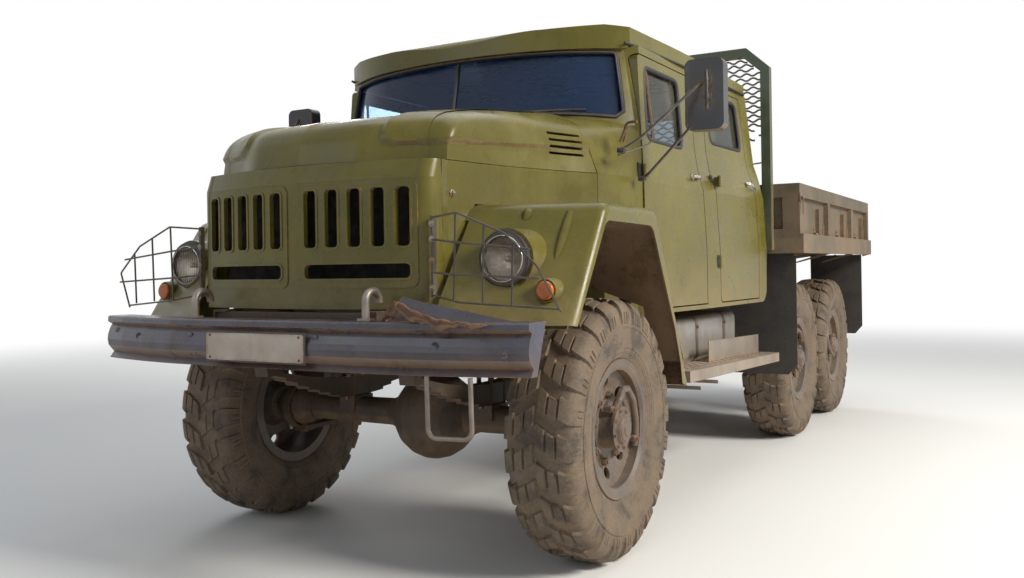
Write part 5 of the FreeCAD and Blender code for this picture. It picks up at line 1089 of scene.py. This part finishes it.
def piping(name, data, low, high, face):
    """A cord's bead along the seam where the face meets the sides."""
    surface = tree_of(data)
    middle = (low + high) / 2
    run = []
    for p in panel(-1, -1, 1, 1, 0.12, 4):
        if face == Z:
            start = Vector((middle.x + p.x * 0.9, middle.y + p.y * 0.4, high.z - 0.034))
        else:
            start = Vector((middle.x + p.x * 0.9, low.y + 0.03, middle.z + p.y * 0.5))
        near = surface.find_nearest(start)[0]
        run.append(near + (start - near).normalized() * 0.002)
    dense = []
    for a, b in zip(run, run[1:] + run[:1]):
        count = max(1, int((b - a).length / 0.04))
        for k in range(count):
            spot = a.lerp(b, k / count)
            out = (spot - middle).normalized()
            dense.append(surface.find_nearest(spot + out * 0.1)[0] + out * 0.001)
    loop(f"{name}_piping", dense, 0.0042, SKIN, sides=2)


for name, made in soft.items():
    low, high, face = PADS[name]
    low, high = at(*low), at(*high)
    quilt(made, low, high, face, before[name])
    made.data.materials.clear()
    made.data.materials.append(SKIN)
    made.data.shade_smooth()
    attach(made, "chassis")
    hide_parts("seats")
    piping(name, made.data, low, high, face)

# ---------------------------------------------------------------- dashboard
DASH_FACE = 781
# x, z, radius, marks, needle's angle
GAUGES = ((520, 1752, 0.056, 13, -2.2), (390, 1752, 0.056, 11, -2.3), (300, 1786, 0.028, 5, -0.6),
          (300, 1718, 0.028, 5, 0.5), (236, 1786, 0.028, 5, -1.1), (236, 1718, 0.028, 5, 0.2))


def dial_line(turn, half):
    """The direction of an angle on a dial, and half a line's width across it."""
    along = Vector((math.sin(turn), 0, math.cos(turn)))
    return along, Vector((along.z, 0, -along.x)) * half


with shape("gauge_rings", SILVER) as bm:
    for x, z, r, *_ in GAUGES:
        lathe(bm, [(0, r), (0.006, r), (0.008, r * 0.94), (0.005, r * 0.9), (0.001, r * 0.9)],
              facing(at(x, DASH_FACE, z), Y), 28)
with shape("gauge_faces", TRIM) as bm:
    for x, z, r, *_ in GAUGES:
        lathe(bm, [(0.001, r * 0.9), (0.0014, 0.004), (0.006, 0.004), (0.0065, 0)],
              facing(at(x, DASH_FACE, z), Y), 28)
with shape("gauge_marks", PLATE, sharp=0) as bm:
    for x, z, r, count, needle in GAUGES:
        centre = at(x, DASH_FACE, z)
        for i in range(count):
            along, side = dial_line(math.radians(-135 + 270 * i / (count - 1)), 0.0011)
            a = centre + along * r * 0.85 + Y * 0.0022
            b = centre + along * r * (0.69 if i % 2 == 0 else 0.76) + Y * 0.0022
            bm.faces.new([bm.verts.new(p) for p in (a - side, a + side, b + side, b - side)])
        along, side = dial_line(needle, 0.0016)
        tip = centre + along * r * 0.7 + Y * 0.004
        tail = centre - along * r * 0.15 + Y * 0.004
        bm.faces.new([bm.verts.new(p) for p in (tip, tail + side, tail - side)])
with shape("dash_fittings", TRIM) as bm:
    soft_box(bm, at(-640, DASH_FACE, 1690), at(-300, 788, 1790), 0.006)
    soft_box(bm, at(-490, 788, 1776), at(-450, 796, 1784), 0.003)
    for x in range(-180, 150, 48):
        lathe(bm, [(0, 0.011), (0.014, 0.010), (0.017, 0.007), (0.017, 0)],
              facing(at(x, DASH_FACE, 1700), Y), 14)
    for x in (-160, -40, 80):
        soft_box(bm, at(x - 45, DASH_FACE, 1742), at(x + 45, 785, 1796), 0.003)
# a lever with its gaiter, from foot to knob: share of the length, radius
LEVER = ((0, 0.055), (0.06, 0.05), (0.09, 0.036), (0.12, 0.04), (0.15, 0.028), (0.18, 0.03),
         (0.22, 0.012), (0.6, 0.009), (0.93, 0.008), (0.94, 0.019), (0.97, 0.025), (1.0, 0.021),
         (1.02, 0.008))
with shape("gear_levers", TRIM) as bm:
    for x, y, tall in ((60, 905, 1640), (-70, 960, 1560)):
        foot, top = at(x, y, 1188), at(x, y - 40, tall)
        strip(bm, [[foot.lerp(top, share) + Vector((r * math.cos(t), r * math.sin(t), 0))
                    for t in turns(14)] for share, r in LEVER])

# ---------------------------------------------------------------- wipers
for side, sign in SIDES:
    ends = thrown("cab_glass", [(sign * 300, 2032), (sign * 690, 2026)], front_view)
    if len(ends) == 2:
        near, far = ends
        off = -Y * 0.02
        arm = [near + off * 1.5 - Z * 0.02, near.lerp(far, 0.5) + off * 2.2 - Z * 0.004,
               near.lerp(far, 0.62) + off * 1.2]
        blade = [near.lerp(far, 0.12) + off * 0.6, near.lerp(far, 0.62) + off * 1.1,
                 far + off * 0.7]
        wires(f"wiper_{side}", [arm, blade], 0.0045, TRIM)

# ---------------------------------------------------------------- tank, boards and springs
with shape("tank_straps", IRON) as bm:
    ring, rim = panel(497, 697, 865, 961, 48), panel(500, 700, 862, 958, 45)
    for middle in (1555, 2078):
        slab(bm, ((middle - 20, rim), (middle - 20, ring), (middle + 20, ring),
                  (middle + 20, rim)), cap=False)
        bolt(bm, at(866, middle, 900), X, 0.009, 0.009)
with shape("tank_cap", IRON) as bm:
    lathe(bm, [(0, 0.034), (0.03, 0.034), (0.032, 0.045), (0.05, 0.046), (0.056, 0.04),
               (0.057, 0)], facing(at(760, 1330, 957), Z), 24)
    soft_box(bm, at(742, 1323, 1006), at(778, 1337, 1018), 0.002)
# the running board's top falls from its front end to its rear end: y and z of both
BOARD_FRONT, BOARD_REAR = (724, 735), (2490, 678)
BOARD_FALL = (BOARD_REAR[1] - BOARD_FRONT[1]) / (BOARD_REAR[0] - BOARD_FRONT[0])
for side, sign in SIDES:
    with shape(f"board_treads_{side}", STEP) as bm:
        for y in range(800, 2461, 92):
            z = BOARD_FRONT[1] + BOARD_FALL * (y - BOARD_FRONT[0])
            for x in range(905, 1080, 44):
                lathe(bm, [(0, 0.0125), (0.0032, 0.0115), (0.0036, 0.0095), (0.0012, 0.008),
                           (0.001, 0)], facing(at(sign * x, y, z - 0.6), Z), 10)
SPRING = 433
with shape("spring_bolts", IRON) as bm:
    for side, sign in SIDES:
        for y in (-86, 86):
            for dx in (-46, 46):
                spot = onto("leaf_springs", at(sign * SPRING + dx, y, 200), Z)
                if spot is not None:
                    bolt(bm, spot, -Z, 0.013, 0.016)
        for spot in thrown("leaf_springs", [(sign * SPRING, y) for y in (4395, 4565, 3200, 3400)],
                           top_view):
            bolt(bm, spot, Z, 0.012, 0.014)

# ---------------------------------------------------------------- load bed
for side, sign in SIDES:
    out = X * sign
    with shape(f"bed_fittings_{side}", IRON) as bm:
        for spot in thrown("bed_walls", [(y, 1460) for y in (3200, 4000, 4800)], side_view(sign)):
            box_on(bm, spot, (-0.006, -0.024, -0.05), (0.006, 0.024, 0.05))
            lathe(bm, [(-0.03, 0.012), (0.03, 0.012), (0.03, 0.006), (-0.03, 0.006)],
                  facing(spot + out * 0.012, Y), 12, True)
            for dz in (-0.035, 0.035):
                bolt(bm, spot + out * 0.006 + Z * dz, out, 0.007, 0.005, False)
        for spot in thrown("bed_walls", [(2640, 1690), (5330, 1690)], side_view(sign)):
            box_on(bm, spot, (-0.004, -0.03, -0.03), (0.004, 0.03, 0.03), 0.002)
            lathe(bm, [(0, 0.012), (0.02, 0.012), (0.024, 0.008), (0.024, 0)],
                  facing(spot, out), 14)
            box_on(bm, spot + out * 0.016, (-0.003, -0.007, -0.11), (0.003, 0.007, 0.01), 0.002)
studs("bed_floor_rivets", BED, "bed_floor",
      [(x, y) for x in range(-1080, 1081, 216) for y in range(2700, 5301, 236)], top_view,
      [(0, 0.0075), (0.0012, 0.0072), (0.0022, 0.005), (0.0026, 0)], 8)

# ---------------------------------------------------------------- hood lid with raised shoulders
# share of the rise at a distance behind the nose
HOOD_RISE = [(0, 0), (8, 0.2), (16, 0.31), (28, 0.39), (44, 0.47), (70, 0.54), (110, 0.6),
             (170, 0.655), (250, 0.7), (345, 0.75), (470, 0.8), (600, 0.845), (863, 0.925),
             (1063, 1.0)]
HOOD_NOSE = [(0, -845), (237, -825), (419, -748), (540, -694), (607, -668)]  # x, y from above
HOOD_SIDE = [(-668, 607), (-345, 659), (7, 763), (220, 850)]  # y, half width
HOOD_REAR, HOOD_SEAM, HOOD_LIFT, HOOD_SHEET = 215, 1687, 300, 12
HOOD_LENGTH, HOOD_CORNER, CREASE = HOOD_RISE[-1][0], 607, 0.96
SHOULDER_BEND, SHOULDER_RUN, SHOULDER_HEIGHT, CREST_HEIGHT = 70.0, 18.0, 15.0, 2.2


def between(table, value):
    """Smooth interpolation in a table of two columns (monotone cubic through its points)."""
    if value <= table[0][0]:
        return table[0][1]
    steep = [(y1 - y0) / (x1 - x0) for (x0, y0), (x1, y1) in zip(table, table[1:])]
    slopes = [0.0 if a * b <= 0 else 2 * a * b / (a + b) for a, b in zip(steep, steep[1:])]
    slopes = [steep[0], *slopes, steep[-1]]
    for i in range(len(table) - 1):
        (x0, y0), (x1, y1) = table[i], table[i + 1]
        if value <= x1:
            run = x1 - x0
            t = (value - x0) / run
            return (y0 * (2 * t ** 3 - 3 * t ** 2 + 1) + y1 * (3 * t ** 2 - 2 * t ** 3)
                    + slopes[i] * run * (t ** 3 - 2 * t ** 2 + t)
                    + slopes[i + 1] * run * (t ** 3 - t ** 2))
    return table[-1][1]


def hood_base(share, behind):
    """A point of the hood's left half: share 0 at the seam, 1 at the shoulder, 2 on the crown."""
    reach = behind / HOOD_LENGTH
    roundness = 11 - 5.7 * reach
    lean = 0.13 * reach
    if share <= 1:
        x = (1 - lean * share) * max(0.0, 1 - share ** roundness) ** (1 / roundness)
        level = share
    else:
        x = (1 - lean * CREASE) * (1 - CREASE ** roundness) ** (1 / roundness) * (2 - share)
        level = max(0.0, 1 - x ** roundness) ** (1 / roundness)
    front = between(HOOD_NOSE, min(x * HOOD_CORNER, HOOD_CORNER))
    along = front + (HOOD_REAR - front) * reach
    half = between(HOOD_SIDE, max(along, HOOD_SIDE[0][0]))
    return Vector((half * x, along, HOOD_SEAM + HOOD_LIFT * between(HOOD_RISE, behind) * level))


def raised(point):
    """How far the pressed shoulder stands proud at a point, from its round-cornered outline."""
    above = point.z - (1752 + 0.045 * (point.y + 600))
    inward = point.x - (352 + 0.06 * (point.y + 700))
    bend = SHOULDER_BEND
    if above < bend and inward < bend:
        reach = bend - math.hypot(bend - max(above, -bend), bend - max(inward, -bend))
    else:
        reach = min(above, inward)
    t = min(1.0, max(0.0, reach / SHOULDER_RUN))
    return SHOULDER_HEIGHT * t * t * (3 - 2 * t)


def outward(base, r, i):
    """The hood's unit normal at one point of its grid."""
    p = base[r][i]
    along = base[min(r + 1, len(base) - 1)][i] - base[max(r - 1, 0)][i]
    across = base[r][min(i + 1, len(base[r]) - 1)] - base[r][max(i - 1, 0)]
    if r == 0:
        across = Vector((-1, -0.3, 0))
    normal = across.cross(along)
    if normal.length < 1e-6:
        normal = -Y
    normal.normalize()
    return -normal if normal.dot(p - Vector((0, p.y + 500, 1500))) < 0 else normal


def both_halves(row):
    """A row of the left half, then its mirror image, as points in metres."""
    return [at(*p) for p in row] + [at(-p.x, p.y, p.z) for p in reversed(row[:-1])]


def hood_mesh():
    """The lid's outer and inner skin, joined along the edges."""
    rows_at = [0, 2, 4, 6, 8, 11, 14, 18, 22, 28, 35, 44, 55, 70, 88, *range(105, 1063, 14),
               HOOD_LENGTH]
    shares = [0, 0.02, *(0.05 * k for k in range(1, 17)), 0.83, 0.86, 0.885, 0.91, 0.93, 0.945,
              CREASE, *(0.97 + 0.03 * k for k in range(1, 34)), 2.0]
    shares = sorted({round(min(s, 2.0), 4) for s in shares})
    base = [[hood_base(s, behind) for s in shares] for behind in rows_at]
    bm = bmesh.new()
    outer, inner = [], []
    for r, behind in enumerate(rows_at):
        left_out, left_in = [], []
        for i, p in enumerate(base[r]):
            normal = outward(base, r, i)
            crest = CREST_HEIGHT * math.exp(-(p.x / 9) ** 2) if behind > 60 else 0.0
            left_out.append(p + normal * raised(p) * min(1.0, behind / 8) + Z * crest)
            left_in.append(p - normal * HOOD_SHEET if behind else p + Y * HOOD_SHEET)
        outer.append([bm.verts.new(p) for p in both_halves(left_out)])
        inner.append([bm.verts.new(p) for p in both_halves(left_in)])
    join(bm, outer)
    join(bm, inner)
    for end in (-1, 0):
        join(bm, [outer[end], inner[end]])
        join(bm, [[row[end] for row in outer], [row[end] for row in inner]])
    return mesh_of("hood_lid_pressing", bm, weld=2e-5)


cutter = bmesh.new()
for x in (800, -800):
    for z in (1765, 1795, 1825, 1855):
        soft_box(cutter, at(x - 200, -30, z - 6), at(x + 200, 172, z + 6), 0.005, segments=3)
knife = placed("louvre_knife", mesh_of("louvre_knife", cutter))
lid = placed("hood_lid_pressing", hood_mesh())
cut = lid.modifiers.new("louvres", "BOOLEAN")
cut.object, cut.operation, cut.solver = knife, "DIFFERENCE", "EXACT"
cut_data = applied(lid)
bpy.data.objects.remove(lid)
bpy.data.objects.remove(knife)
cut_data.materials.clear()
hood_skin = piece("hood_lid_pressing", cut_data, OLIVE, "hood_lid", 32)
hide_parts("hood")
